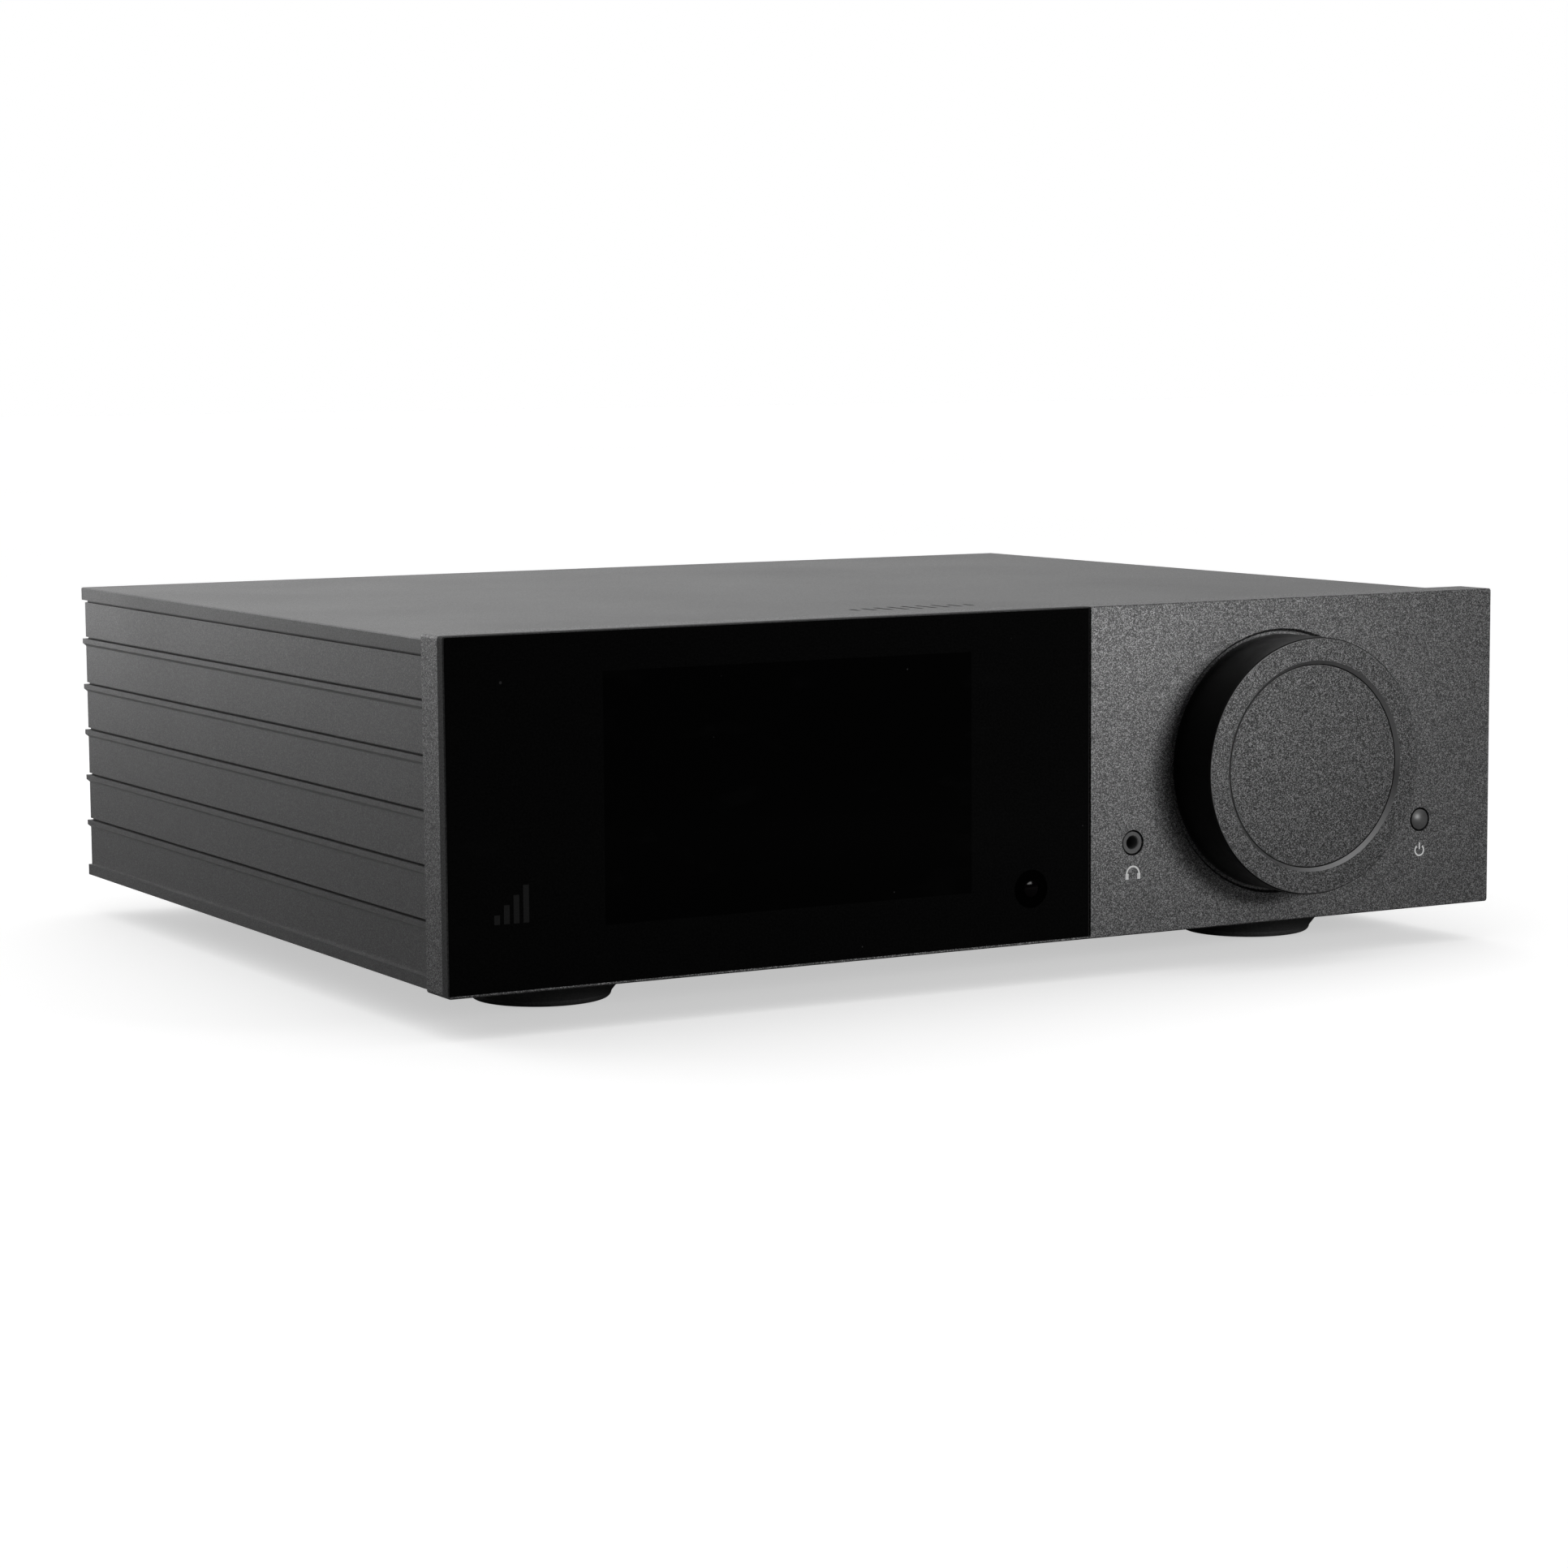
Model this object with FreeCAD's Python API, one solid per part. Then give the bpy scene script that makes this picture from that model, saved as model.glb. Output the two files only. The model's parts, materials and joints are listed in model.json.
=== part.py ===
"""Compact streaming DAC and amplifier: aluminium case, glass display front, big volume knob.

Millimetres. +X is to the right seen from the front, +Y to the back, +Z up.
The origin is on the table, under the middle of the overall box (knob and speaker posts included).
"""
import FreeCAD
import Part
import math
import os

Vector = FreeCAD.Vector
X_AXIS = Vector(1, 0, 0)
Y_AXIS = Vector(0, 1, 0)
Z_AXIS = Vector(0, 0, 1)

# ---- driving dimensions ----
WIDTH = 330.0            # front panel, left to right
PANEL_HEIGHT = 90.8      # front panel, bottom to top
PANEL_THICKNESS = 13.3
PANEL_CORNER = 0.8       # radius of the front panel's four corners
EDGE_BREAK = 0.3         # chamfer on the machined edges
CASE_DEPTH = 268.5       # front face of the panel to the rear ends of the side panels
FOOT_GAP = 11.1          # table to the front panel's lower edge
KNOB_PROUD = 16.8        # knob face in front of the panel's face
POST_PROUD = 22.4        # speaker post caps behind the rear panel's face
REAR_RECESS = 1.0        # rear panel's face inside the side panels' ends
SHEET = 2.0              # base plate and rear panel thickness
LID_THICKNESS = 3.8
WALL = 4.0               # side panel's wall
RIB_PROUD = 1.05         # side panel's ribs outside its wall
RIB_COUNT = 5
RIB_PITCH = 14.0
RIB_FACE = 1.4           # height of a rib's outer face
RIB_SLOPE = 0.9          # height of the slope under it
RIB_GROOVE = 0.5         # dark line cut into the wall above each rib
GROOVE_DEPTH = 0.8
BLOCK = 9.0              # square screw channel blocks inside the side panels
RUNNING_GAP = 0.06       # radial clearance of a shaft in its hole

# ---- places that follow from them ----
OVERALL_DEPTH = KNOB_PROUD + CASE_DEPTH - REAR_RECESS + POST_PROUD
FRONT = -OVERALL_DEPTH / 2 + KNOB_PROUD
PANEL_BACK = FRONT + PANEL_THICKNESS
CASE_END = FRONT + CASE_DEPTH
REAR = CASE_END - REAR_RECESS
REAR_INNER = REAR - SHEET
PANEL_HALF = WIDTH / 2
CASE_HALF = PANEL_HALF - 0.3
WALL_OUT = CASE_HALF - RIB_PROUD
WALL_IN = WALL_OUT - WALL
PANEL_BOTTOM = FOOT_GAP
PANEL_TOP = PANEL_BOTTOM + PANEL_HEIGHT
CASE_BOTTOM = PANEL_BOTTOM + 0.8
CASE_TOP = PANEL_TOP - 1.3
LID_BOTTOM = CASE_TOP - LID_THICKNESS
BASE_TOP = CASE_BOTTOM + SHEET
CHANNEL_X = WALL_IN - BLOCK / 2          # middle of the screw channels
CHANNEL_LOW = BASE_TOP + BLOCK / 2
CHANNEL_HIGH = LID_BOTTOM - BLOCK / 2

# screws
TAP = 1.5                # radius of an M3 thread's hole
CLEARANCE = 1.6          # radius of a hole an M3 screw goes through
FOOT_BOLT = 2.1          # radius of a hole for an M4 screw

# front panel layout
GLASS_THICKNESS = 3.4
GLASS_RIGHT = 27.0       # seam between glass and bare aluminium
SEAM = 0.5
GLASS_LEDGE = 0.7        # aluminium edge left under the glass
WEB = 7.0                # panel material left in front of the pocket
POCKET_HALF = 146.5
POCKET_LOW = PANEL_BOTTOM + 9.0
POCKET_HIGH = PANEL_BOTTOM + 82.0
DISPLAY_X = -66.1
DISPLAY_Z = PANEL_BOTTOM + 47.9
DISPLAY_SIZE = (120.7, 5.0, 75.8)
SCREEN_SIZE = (109.7, 65.9)
IR_X = 7.6
IR_Z = PANEL_BOTTOM + 15.2
IR_HOLE = 5.25
CONTROLS_Z = PANEL_BOTTOM + 25.5
JACK_X = 40.8
JACK_BORE = 1.8          # takes a 3.5 mm plug
JACK_NOSE = 3.03
BUTTON_X = 139.9
BUTTON_RADIUS = 2.9
BUTTON_TRAVEL = 0.8
BUTTON_GAP = 0.55        # shadow gap round the button
JACK_GAP = 0.5
KNOB_X = 90.1
KNOB_Z = PANEL_BOTTOM + 45.2
KNOB_RADIUS = 35.65
KNOB_WALL = 4.0
KNOB_FLOOR = 7.0         # thickness of the knob's front
KNOB_BOSS = 8.0          # radius round the shaft's bore
KNOB_POCKET = 36.4       # shallow round pocket behind the knob
KNOB_POCKET_DEPTH = 0.75
DISC_RADIUS = 28.3
DISC_RECESS = 1.0
DISC_SEAT = 3.0          # bed of the face disc behind the knob's face
DISC_GAP = 0.2           # shadow gap round the disc
GRUB_Y = FRONT - 7.0
SHAFT_FLAT = 0.5         # how deep the flat is cut into the shaft
ENCODER_SIDE = 14.0
SHAFT_RADIUS = 3.0
BUSH_RADIUS = 4.5
BUSH_END = FRONT - 2.0   # front end of the encoder's bush
BOARD = 1.6              # printed circuit board thickness
FRONT_BOARD_Y = PANEL_BACK
FRONT_BOARD_HOLES = ((-137, 17), (-137, 74), (22, 74), (22, 30), (138, 74), (118, 17))

# feet
FOOT_X = 115.3
FOOT_FRONT_Y = FRONT + 50.5
FOOT_REAR_Y = CASE_END - 45.0
FOOT_TOP_RADIUS = 25.5
FOOT_LOW_RADIUS = 18.9
FOOT_EDGE = 1.6          # rounding of a foot's lower edge
FOOT_RIM = 1.2           # straight rim at a foot's top
FOOT_PLACES = {
    "front_left": (-FOOT_X, FOOT_FRONT_Y),
    "front_right": (FOOT_X, FOOT_FRONT_Y),
    "rear_left": (-FOOT_X, FOOT_REAR_Y),
    "rear_right": (FOOT_X, FOOT_REAR_Y),
}
PAD_RADIUS = 13.0
PAD_HOLE = 5.2
PAD_THICKNESS = 3.0
PAD_PROUD = 0.6
FOOT_SEAT = PAD_THICKNESS + 3.5          # height of the screw head's seat inside the foot

# boards and rear sockets
MAIN_BOARD_Z = BASE_TOP + 6.0
MAIN_BOARD_TOP = MAIN_BOARD_Z + BOARD
MAIN_BOARD = (0.0, 149.0, REAR_INNER - 150.0, REAR_INNER - 0.5)
POWER_BOARD = (-150.0, -8.0, REAR_INNER - 195.0, REAR_INNER - 42.0)
INLET_X = -128.0
INLET_Z = 58.0
INLET_PIN_Z = INLET_Z + 5.0
DRAWER_Z = INLET_Z - 11.5
BLADE_SIDE = 7.0         # live and neutral blades, left and right of the middle
BLADE_DROP = 2.0         # and below it; the earth blade stands above
SWITCH_X = -97.0
SWITCH_Z = 58.0
SWITCH_TAB = 5.0         # rear tabs above and below the middle
SWITCH_TILT = 12.0       # rocker lean each side of the middle, in degrees
SWITCH_PIVOT_Y = REAR - 2.0
POST_XS = (-73.5, -54.5, -35.5, -16.5)
POST_Z = 54.0
STUD_RADIUS = 3.0
BANANA_RADIUS = 2.05
RCA_XS = (12.0, 30.0, 48.0)
RCA_ZS = (MAIN_BOARD_TOP + 9.0, MAIN_BOARD_TOP + 28.0)
RCA_RADIUS = 4.15
RCA_PROUD = 10.0
OPTICAL_X = 74.0
USB_B_X = 89.5
USB_A_X = 105.6
HDMI_X = 123.2
NETWORK_X = 142.0
SOCKET_Z = MAIN_BOARD_TOP + 7.0          # row of digital sockets standing on the main board

# width and height of what reaches through the rear panel
INLET_BODY = (27.0, 30.8)
SWITCH_BODY = (13.0, 20.0)
OPTICAL_NOSE = (10.0, 11.0)
USB_B_SHELL = (12.0, 11.0)
USB_A_SHELL = (13.2, 5.9)
HDMI_SHELL = (15.0, 5.6)
NETWORK_BODY = (16.0, 13.2)
OPENING_GAP = 0.2        # left free all round it
RCA_BORE = 3.5           # inside radius of a phono socket's sleeve
RCA_CONTACT = 1.65
POST_PLATE = 2.5         # thickness of the moulded terminal plates
POST_NECK = 4.4          # radius of a speaker post where it passes the plate

# vents
VENT_WIDTH = 2.5
VENT_PITCH = 6.0
VENT_COUNT = 13
VENT_HEIGHT = 28.0
BASE_VENT = (3.2, 32.0)  # width and length


# ---- shape helpers ----
def box(x0, x1, y0, y1, z0, z1):
    return Part.makeBox(x1 - x0, y1 - y0, z1 - z0, Vector(x0, y0, z0))


def centred_box(x, z, width, height, y0, y1):
    return box(x - width / 2, x + width / 2, y0, y1, z - height / 2, z + height / 2)


def rounded_box(x0, x1, y0, y1, z0, z1, radius, along=Y_AXIS):
    """A box whose four edges along one axis are rounded."""
    block = box(x0, x1, y0, y1, z0, z1)
    edges = [e for e in block.Edges if abs(e.tangentAt(e.FirstParameter).dot(along)) > 0.99]
    return block.makeFillet(radius, edges)


def rod_y(x, z, radius, y0, y1):
    return Part.makeCylinder(radius, y1 - y0, Vector(x, y0, z), Y_AXIS)


def rod_z(x, y, radius, z0, z1):
    return Part.makeCylinder(radius, z1 - z0, Vector(x, y, z0), Z_AXIS)


def rod_x(y, z, radius, x0, x1):
    return Part.makeCylinder(radius, x1 - x0, Vector(x0, y, z), X_AXIS)


def tube_y(x, z, outer, inner, y0, y1):
    return rod_y(x, z, outer, y0, y1).cut(rod_y(x, z, inner, y0 - 1, y1 + 1))


def cone_y(x, z, radius0, radius1, y0, y1):
    return Part.makeCone(radius0, radius1, y1 - y0, Vector(x, y0, z), Y_AXIS)


def hexagon_y(x, z, across_flats, y0, y1):
    corner = across_flats / math.sqrt(3)
    angles = [math.radians(60 * i) for i in range(7)]
    points = [Vector(x + corner * math.cos(a), y0, z + corner * math.sin(a)) for a in angles]
    return Part.Face(Part.makePolygon(points)).extrude(Vector(0, y1 - y0, 0))


def turned(x, z, profile):
    """A solid of revolution about the Y axis through (x, z); the profile is (radius, y) points."""
    points = [Vector(x + radius, y, z) for radius, y in profile]
    face = Part.Face(Part.makePolygon(points + points[:1]))
    return face.revolve(Vector(x, 0, z), Y_AXIS, 360)


def prism_x(outline, x0, x1):
    """An outline of (y, z) points extruded along X."""
    points = [Vector(x0, y, z) for y, z in outline]
    return Part.Face(Part.makePolygon(points + points[:1])).extrude(Vector(x1 - x0, 0, 0))


def joined(shapes):
    return shapes[0].multiFuse(shapes[1:]).removeSplitter()


def group(shapes):
    return Part.makeCompound(shapes)


def screw(head, direction, length, radius=1.45, head_radius=2.75, head_height=2.0):
    """A pan head screw with a hexagon socket; head is the point under the head."""
    shank = Part.makeCylinder(radius, length, head, direction)
    cap = Part.makeCylinder(head_radius, head_height, head, direction * -1)
    rim = [e for e in cap.Edges if (e.CenterOfMass - head).dot(direction) < -head_height / 2
           and e.Closed and len(e.Vertexes) == 1]
    cap = cap.makeFillet(head_height * 0.4, rim)
    turn = FreeCAD.Rotation(Y_AXIS, direction)
    socket = hexagon_y(0, 0, 2.0, -head_height - 1, -head_height * 0.3)
    socket.Placement = FreeCAD.Placement(head, turn)
    return shank.fuse(cap).cut(socket)


# ---- front panel and what sits in it ----
def panel_block():
    """The front panel's outer shape, before any holes."""
    block = rounded_box(-PANEL_HALF, PANEL_HALF, FRONT, PANEL_BACK, PANEL_BOTTOM, PANEL_TOP, PANEL_CORNER)
    rims = [e for e in block.Edges
            if min(abs(e.CenterOfMass.y - FRONT), abs(e.CenterOfMass.y - PANEL_BACK)) < 0.01]
    return block.makeChamfer(EDGE_BREAK, rims)


def front_panel():
    panel = panel_block()
    glass_bed = box(-PANEL_HALF - 1, GLASS_RIGHT, FRONT - 1, FRONT + GLASS_THICKNESS,
                    PANEL_BOTTOM + GLASS_LEDGE, PANEL_TOP + 1)
    pocket = rounded_box(-POCKET_HALF, POCKET_HALF, FRONT + WEB, PANEL_BACK + 1,
                         POCKET_LOW, POCKET_HIGH, 4.0)
    display_hole = centred_box(DISPLAY_X, DISPLAY_Z, DISPLAY_SIZE[0] + 1, DISPLAY_SIZE[2] + 1,
                               FRONT, PANEL_BACK)
    ir_hole = rod_y(IR_X, IR_Z, IR_HOLE, FRONT, PANEL_BACK)
    jack_hole = rod_y(JACK_X, CONTROLS_Z, JACK_NOSE + JACK_GAP, FRONT - 1, PANEL_BACK)
    button_hole = rod_y(BUTTON_X, CONTROLS_Z, BUTTON_RADIUS + BUTTON_GAP, FRONT - 1, PANEL_BACK)
    floor = FRONT + KNOB_POCKET_DEPTH
    bevel = KNOB_POCKET + KNOB_POCKET_DEPTH
    knob_pocket = turned(KNOB_X, KNOB_Z, [(0, FRONT - 1), (bevel + 1, FRONT - 1),
                                          (KNOB_POCKET, floor), (0, floor)])
    bush_hole = rod_y(KNOB_X, KNOB_Z, BUSH_RADIUS + 0.2, FRONT - 1, PANEL_BACK)
    panel = panel.cut([glass_bed, pocket, display_hole, ir_hole, jack_hole, button_hole,
                       knob_pocket, bush_hole])
    posts = [rod_y(x, PANEL_BOTTOM + z, 3.5, FRONT + WEB, PANEL_BACK) for x, z in FRONT_BOARD_HOLES]
    panel = joined([panel] + posts)
    taps = [rod_y(x, PANEL_BOTTOM + z, TAP, PANEL_BACK - 5.0, PANEL_BACK + 1)
            for x, z in FRONT_BOARD_HOLES]
    taps += [rod_y(x, z, TAP, PANEL_BACK - 7.0, PANEL_BACK + 1) for x, z in bracket_front_holes()]
    return panel.cut(taps)


def display_glass():
    """Glass plate flush with the panel; it follows the panel's rounded corner and broken edges."""
    glass = box(-PANEL_HALF - 1, GLASS_RIGHT - SEAM, FRONT - 1, FRONT + GLASS_THICKNESS,
                PANEL_BOTTOM + GLASS_LEDGE, PANEL_TOP + 1)
    glass = glass.common(panel_block())
    seam_edges = [e for e in glass.Edges if abs(e.CenterOfMass.y - FRONT) < 0.01
                  and e.CenterOfMass.x > GLASS_RIGHT - SEAM - 0.01]
    return glass.makeChamfer(EDGE_BREAK * 0.8, seam_edges)


def display_module():
    width, depth, height = DISPLAY_SIZE
    y0 = FRONT + GLASS_THICKNESS
    frame = centred_box(DISPLAY_X, DISPLAY_Z, width, height, y0, y0 + depth)
    window = centred_box(DISPLAY_X, DISPLAY_Z, SCREEN_SIZE[0], SCREEN_SIZE[1], y0 - 1, y0 + 0.4)
    return frame.cut(window)


def ir_receiver():
    body = centred_box(IR_X, IR_Z, 6.0, 7.0, FRONT + 7.6, PANEL_BACK)
    lens = Part.makeSphere(2.4, Vector(IR_X, FRONT + 7.6, IR_Z))
    return body.fuse(lens)


def front_board():
    y0, y1 = FRONT_BOARD_Y, FRONT_BOARD_Y + BOARD
    board = box(-143, 143, y0, y1, PANEL_BOTTOM + 12, PANEL_BOTTOM + 79)
    holes = [rod_y(x, PANEL_BOTTOM + z, CLEARANCE, y0 - 1, y1 + 1) for x, z in FRONT_BOARD_HOLES]
    jack_gap = centred_box(JACK_X, CONTROLS_Z, 12.5, 12.5, y0 - 1, y1 + 1)
    board = board.cut(holes + [jack_gap])
    chips = [centred_box(x, PANEL_BOTTOM + z, w, h, y1, y1 + t)
             for x, z, w, h, t in ((-95, 50, 14, 14, 1.2), (-30, 35, 9, 9, 1.0), (60, 60, 7, 5, 1.2))]
    ribbon_plug = centred_box(-60, PANEL_BOTTOM + 22, 26, 5, y1, y1 + 4)
    return joined([board, ribbon_plug] + chips)


def headphone_jack():
    face = FRONT + 0.3
    nose = rod_y(JACK_X, CONTROLS_Z, JACK_NOSE, face, FRONT + WEB)
    body = centred_box(JACK_X, CONTROLS_Z, 12.0, 12.0, FRONT + WEB, FRONT + WEB + 12)
    bore = rod_y(JACK_X, CONTROLS_Z, JACK_BORE, face - 1, FRONT + 16)
    mouth = cone_y(JACK_X, CONTROLS_Z, JACK_BORE + 0.25, JACK_BORE, face - 0.01, face + 0.25)
    return nose.fuse(body).removeSplitter().cut([bore, mouth])


def standby_button():
    dome_height = 0.9
    dome_radius = (BUTTON_RADIUS ** 2 + dome_height ** 2) / (2 * dome_height)
    ball = Part.makeSphere(dome_radius, Vector(BUTTON_X, FRONT - dome_height + dome_radius, CONTROLS_Z))
    dome = rod_y(BUTTON_X, CONTROLS_Z, BUTTON_RADIUS, FRONT - dome_height, FRONT).common(ball)
    cap = dome.fuse(rod_y(BUTTON_X, CONTROLS_Z, BUTTON_RADIUS, FRONT, FRONT + WEB))
    flange = rod_y(BUTTON_X, CONTROLS_Z, 4.3, FRONT + WEB, FRONT + WEB + 1)
    stem = rod_y(BUTTON_X, CONTROLS_Z, 1.2, FRONT + WEB + 1, FRONT + WEB + 4)
    return joined([cap, flange, stem])


def standby_switch():
    """Push switch on the front board; the button's stem runs in its mouth."""
    front = FRONT + WEB + 2.6
    body = centred_box(BUTTON_X, CONTROLS_Z, 6.0, 6.0, front, PANEL_BACK)
    mouth = rod_y(BUTTON_X, CONTROLS_Z, 1.2 + RUNNING_GAP, front - 1, FRONT + WEB + 5.2)
    return body.cut(mouth)


# ---- volume knob ----
def knob_ring():
    front = FRONT - KNOB_PROUD
    back = FRONT + KNOB_POCKET_DEPTH - 0.4
    lip = 0.4
    inside, floor, boss_end = KNOB_RADIUS - KNOB_WALL, front + KNOB_FLOOR, BUSH_END - 0.6
    profile = [(0, front + DISC_SEAT), (DISC_RADIUS, front + DISC_SEAT),
               (DISC_RADIUS, front + DISC_RECESS), (DISC_RADIUS + DISC_RECESS, front),
               (KNOB_RADIUS - lip, front), (KNOB_RADIUS, front + lip), (KNOB_RADIUS, back),
               (inside, back), (inside, floor), (KNOB_BOSS, floor), (KNOB_BOSS, boss_end), (0, boss_end)]
    ring = turned(KNOB_X, KNOB_Z, profile)
    shaft_bore = encoder_shaft_rod(SHAFT_RADIUS, front + 5, BUSH_END)
    screw_way = rod_z(KNOB_X, GRUB_Y, TAP + 0.05, KNOB_Z - KNOB_RADIUS - 1,
                      KNOB_Z - SHAFT_RADIUS + SHAFT_FLAT)
    return ring.cut([shaft_bore, screw_way])


def knob_disc():
    front = FRONT - KNOB_PROUD
    face = front + DISC_RECESS
    disc = rod_y(KNOB_X, KNOB_Z, DISC_RADIUS - DISC_GAP, face, front + DISC_SEAT)
    rim = [e for e in disc.Edges if abs(e.CenterOfMass.y - face) < 0.01]
    return disc.makeChamfer(EDGE_BREAK / 2, rim)


def knob_grub_screw():
    tip = KNOB_Z - SHAFT_RADIUS + SHAFT_FLAT
    length = 4.5
    body = rod_z(KNOB_X, GRUB_Y, TAP, tip - length, tip)
    socket = hexagon_y(0, 0, 1.5, 0, 1.5)
    socket.Placement = FreeCAD.Placement(Vector(KNOB_X, GRUB_Y, tip - length - 0.1),
                                         FreeCAD.Rotation(Y_AXIS, Z_AXIS))
    return body.cut(socket)


def encoder_shaft_rod(radius, y0, y1):
    """The shaft with its flat, which faces down towards the grub screw."""
    flat = box(KNOB_X - radius, KNOB_X + radius, y0 - 1, y1 + 1, KNOB_Z - radius - 1,
               KNOB_Z - radius + SHAFT_FLAT)
    return rod_y(KNOB_X, KNOB_Z, radius, y0, y1).cut(flat)


def encoder_shaft():
    flat_part = encoder_shaft_rod(SHAFT_RADIUS, FRONT - KNOB_PROUD + 5, BUSH_END - 0.3)
    round_part = rod_y(KNOB_X, KNOB_Z, SHAFT_RADIUS, BUSH_END - 0.3, FRONT + WEB + 4)
    return flat_part.fuse(round_part)


def encoder_body():
    can = centred_box(KNOB_X, KNOB_Z, ENCODER_SIDE, ENCODER_SIDE, FRONT + WEB, PANEL_BACK)
    bush = rod_y(KNOB_X, KNOB_Z, BUSH_RADIUS, BUSH_END, FRONT + WEB)
    bore = rod_y(KNOB_X, KNOB_Z, SHAFT_RADIUS + RUNNING_GAP, BUSH_END - 1, FRONT + WEB + 4.5)
    return can.fuse(bush).cut(bore)


def encoder_nut():
    seat = FRONT + KNOB_POCKET_DEPTH
    washer = rod_y(KNOB_X, KNOB_Z, 7.0, seat - 0.5, seat)
    nut = hexagon_y(KNOB_X, KNOB_Z, 11.0, seat - 2.3, seat - 0.5)
    return washer.fuse(nut).cut(rod_y(KNOB_X, KNOB_Z, BUSH_RADIUS, seat - 3, seat + 1))


# ---- case ----
def side_profile():
    """Closed outline in the XZ plane of the right side panel, from its lower inner corner."""
    inner = WALL_IN - BLOCK
    lip = 3.2
    shadow_gap = 0.8
    outline = [(WALL_IN, CASE_BOTTOM), (CASE_HALF, CASE_BOTTOM), (CASE_HALF, CASE_BOTTOM + lip),
               (WALL_OUT, CASE_BOTTOM + lip)]
    for i in range(RIB_COUNT):
        outline += rib_outline(CASE_BOTTOM + 17.0 + i * RIB_PITCH)
    outline += [(WALL_OUT, LID_BOTTOM - shadow_gap), (WALL_OUT - shadow_gap, LID_BOTTOM - shadow_gap),
                (WALL_OUT - shadow_gap, LID_BOTTOM)]
    outline += [(inner, LID_BOTTOM), (inner, LID_BOTTOM - BLOCK), (WALL_IN, LID_BOTTOM - BLOCK)]
    outline += [(WALL_IN, BASE_TOP + BLOCK), (inner, BASE_TOP + BLOCK), (inner, BASE_TOP),
                (WALL_IN, BASE_TOP)]
    points = [Vector(x, 0, z) for x, z in outline]
    return Part.makePolygon(points + points[:1])


def rib_outline(top):
    """From the slope under a rib, over its face, to the groove above it; top is its upper edge."""
    face_low = top - RIB_FACE
    groove_x = WALL_OUT - GROOVE_DEPTH
    groove_top = top + RIB_GROOVE
    return [(WALL_OUT, face_low - RIB_SLOPE), (CASE_HALF, face_low), (CASE_HALF, top),
            (groove_x, top), (groove_x, groove_top), (WALL_OUT, groove_top)]


def side_panel(side):
    """side is +1 for the right panel and -1 for the left one."""
    bar = Part.Face(side_profile()).extrude(Vector(0, CASE_END - PANEL_BACK, 0))
    bar.translate(Vector(0, PANEL_BACK, 0))
    rear_seat = box(WALL_IN - BLOCK - 1, WALL_IN, REAR_INNER, CASE_END + 1, BASE_TOP - 3, LID_BOTTOM + 1)
    channels = [rod_y(CHANNEL_X, z, TAP, REAR_INNER - 15, CASE_END) for z in (CHANNEL_LOW, CHANNEL_HIGH)]
    base_taps = [rod_z(CHANNEL_X, y, TAP, CASE_BOTTOM, BASE_TOP + 7) for y in base_screw_ys()]
    bracket_taps = [rod_x(y, z, TAP, WALL_IN - 1, WALL_IN + 3) for y, z in bracket_side_holes()]
    panel = bar.cut([rear_seat] + channels + base_taps + bracket_taps)
    if side < 0:
        panel = panel.mirror(Vector(0, 0, 0), X_AXIS)
    return panel


def base_screw_ys():
    return (PANEL_BACK + 22.0, (PANEL_BACK + REAR_INNER) / 2, REAR_INNER - 28.0)


def bracket_zs():
    middle = (BASE_TOP + LID_BOTTOM) / 2
    return (middle - 13.0, middle + 13.0)


def bracket_front_holes():
    return [(side * (WALL_IN - 7.0), z) for side in (-1, 1) for z in bracket_zs()]


def bracket_side_holes():
    return [(PANEL_BACK + 7.0, z) for z in bracket_zs()]


def corner_brackets():
    """Two angle pieces that screw the front panel to the side panels."""
    leg, thick, half_height = 12.0, 2.0, 20.0
    middle = (BASE_TOP + LID_BOTTOM) / 2
    low, high = middle - half_height, middle + half_height
    brackets = []
    for side in (-1, 1):
        wall = side * WALL_IN
        near, far = sorted((wall, wall - side * thick))
        side_leg = box(near, far, PANEL_BACK, PANEL_BACK + leg, low, high)
        near, far = sorted((wall, wall - side * leg))
        front_leg = box(near, far, PANEL_BACK, PANEL_BACK + thick, low, high)
        holes = [rod_y(x, z, CLEARANCE, PANEL_BACK - 1, PANEL_BACK + 3)
                 for x, z in bracket_front_holes()]
        near, far = sorted((wall + side, wall - side * 4))
        holes += [rod_x(y, z, CLEARANCE, near, far) for y, z in bracket_side_holes()]
        brackets.append(side_leg.fuse(front_leg).removeSplitter().cut(holes))
    return group(brackets)


LID_TAB = 9.0            # depth and height of the tabs the rear screws hold the lid by


def lid_screw_xs():
    return (-WIDTH / 3, 0.0, WIDTH / 3)


def lid():
    plate = box(-CASE_HALF, CASE_HALF, PANEL_BACK, CASE_END, LID_BOTTOM, CASE_TOP)
    top_edges = [e for e in plate.Edges if abs(e.CenterOfMass.z - CASE_TOP) < 0.01
                 and abs(e.CenterOfMass.y - PANEL_BACK) > 1]
    plate = plate.makeChamfer(EDGE_BREAK, top_edges)
    tabs = [box(x - 6, x + 6, REAR_INNER - LID_TAB, REAR_INNER, LID_BOTTOM - LID_TAB, LID_BOTTOM + 1)
            for x in lid_screw_xs()]
    plate = joined([plate] + tabs)
    taps = [rod_y(x, LID_BOTTOM - LID_TAB / 2, TAP, REAR_INNER - 8, REAR_INNER + 1)
            for x in lid_screw_xs()]
    return plate.cut(taps + lid_mark())


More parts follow.
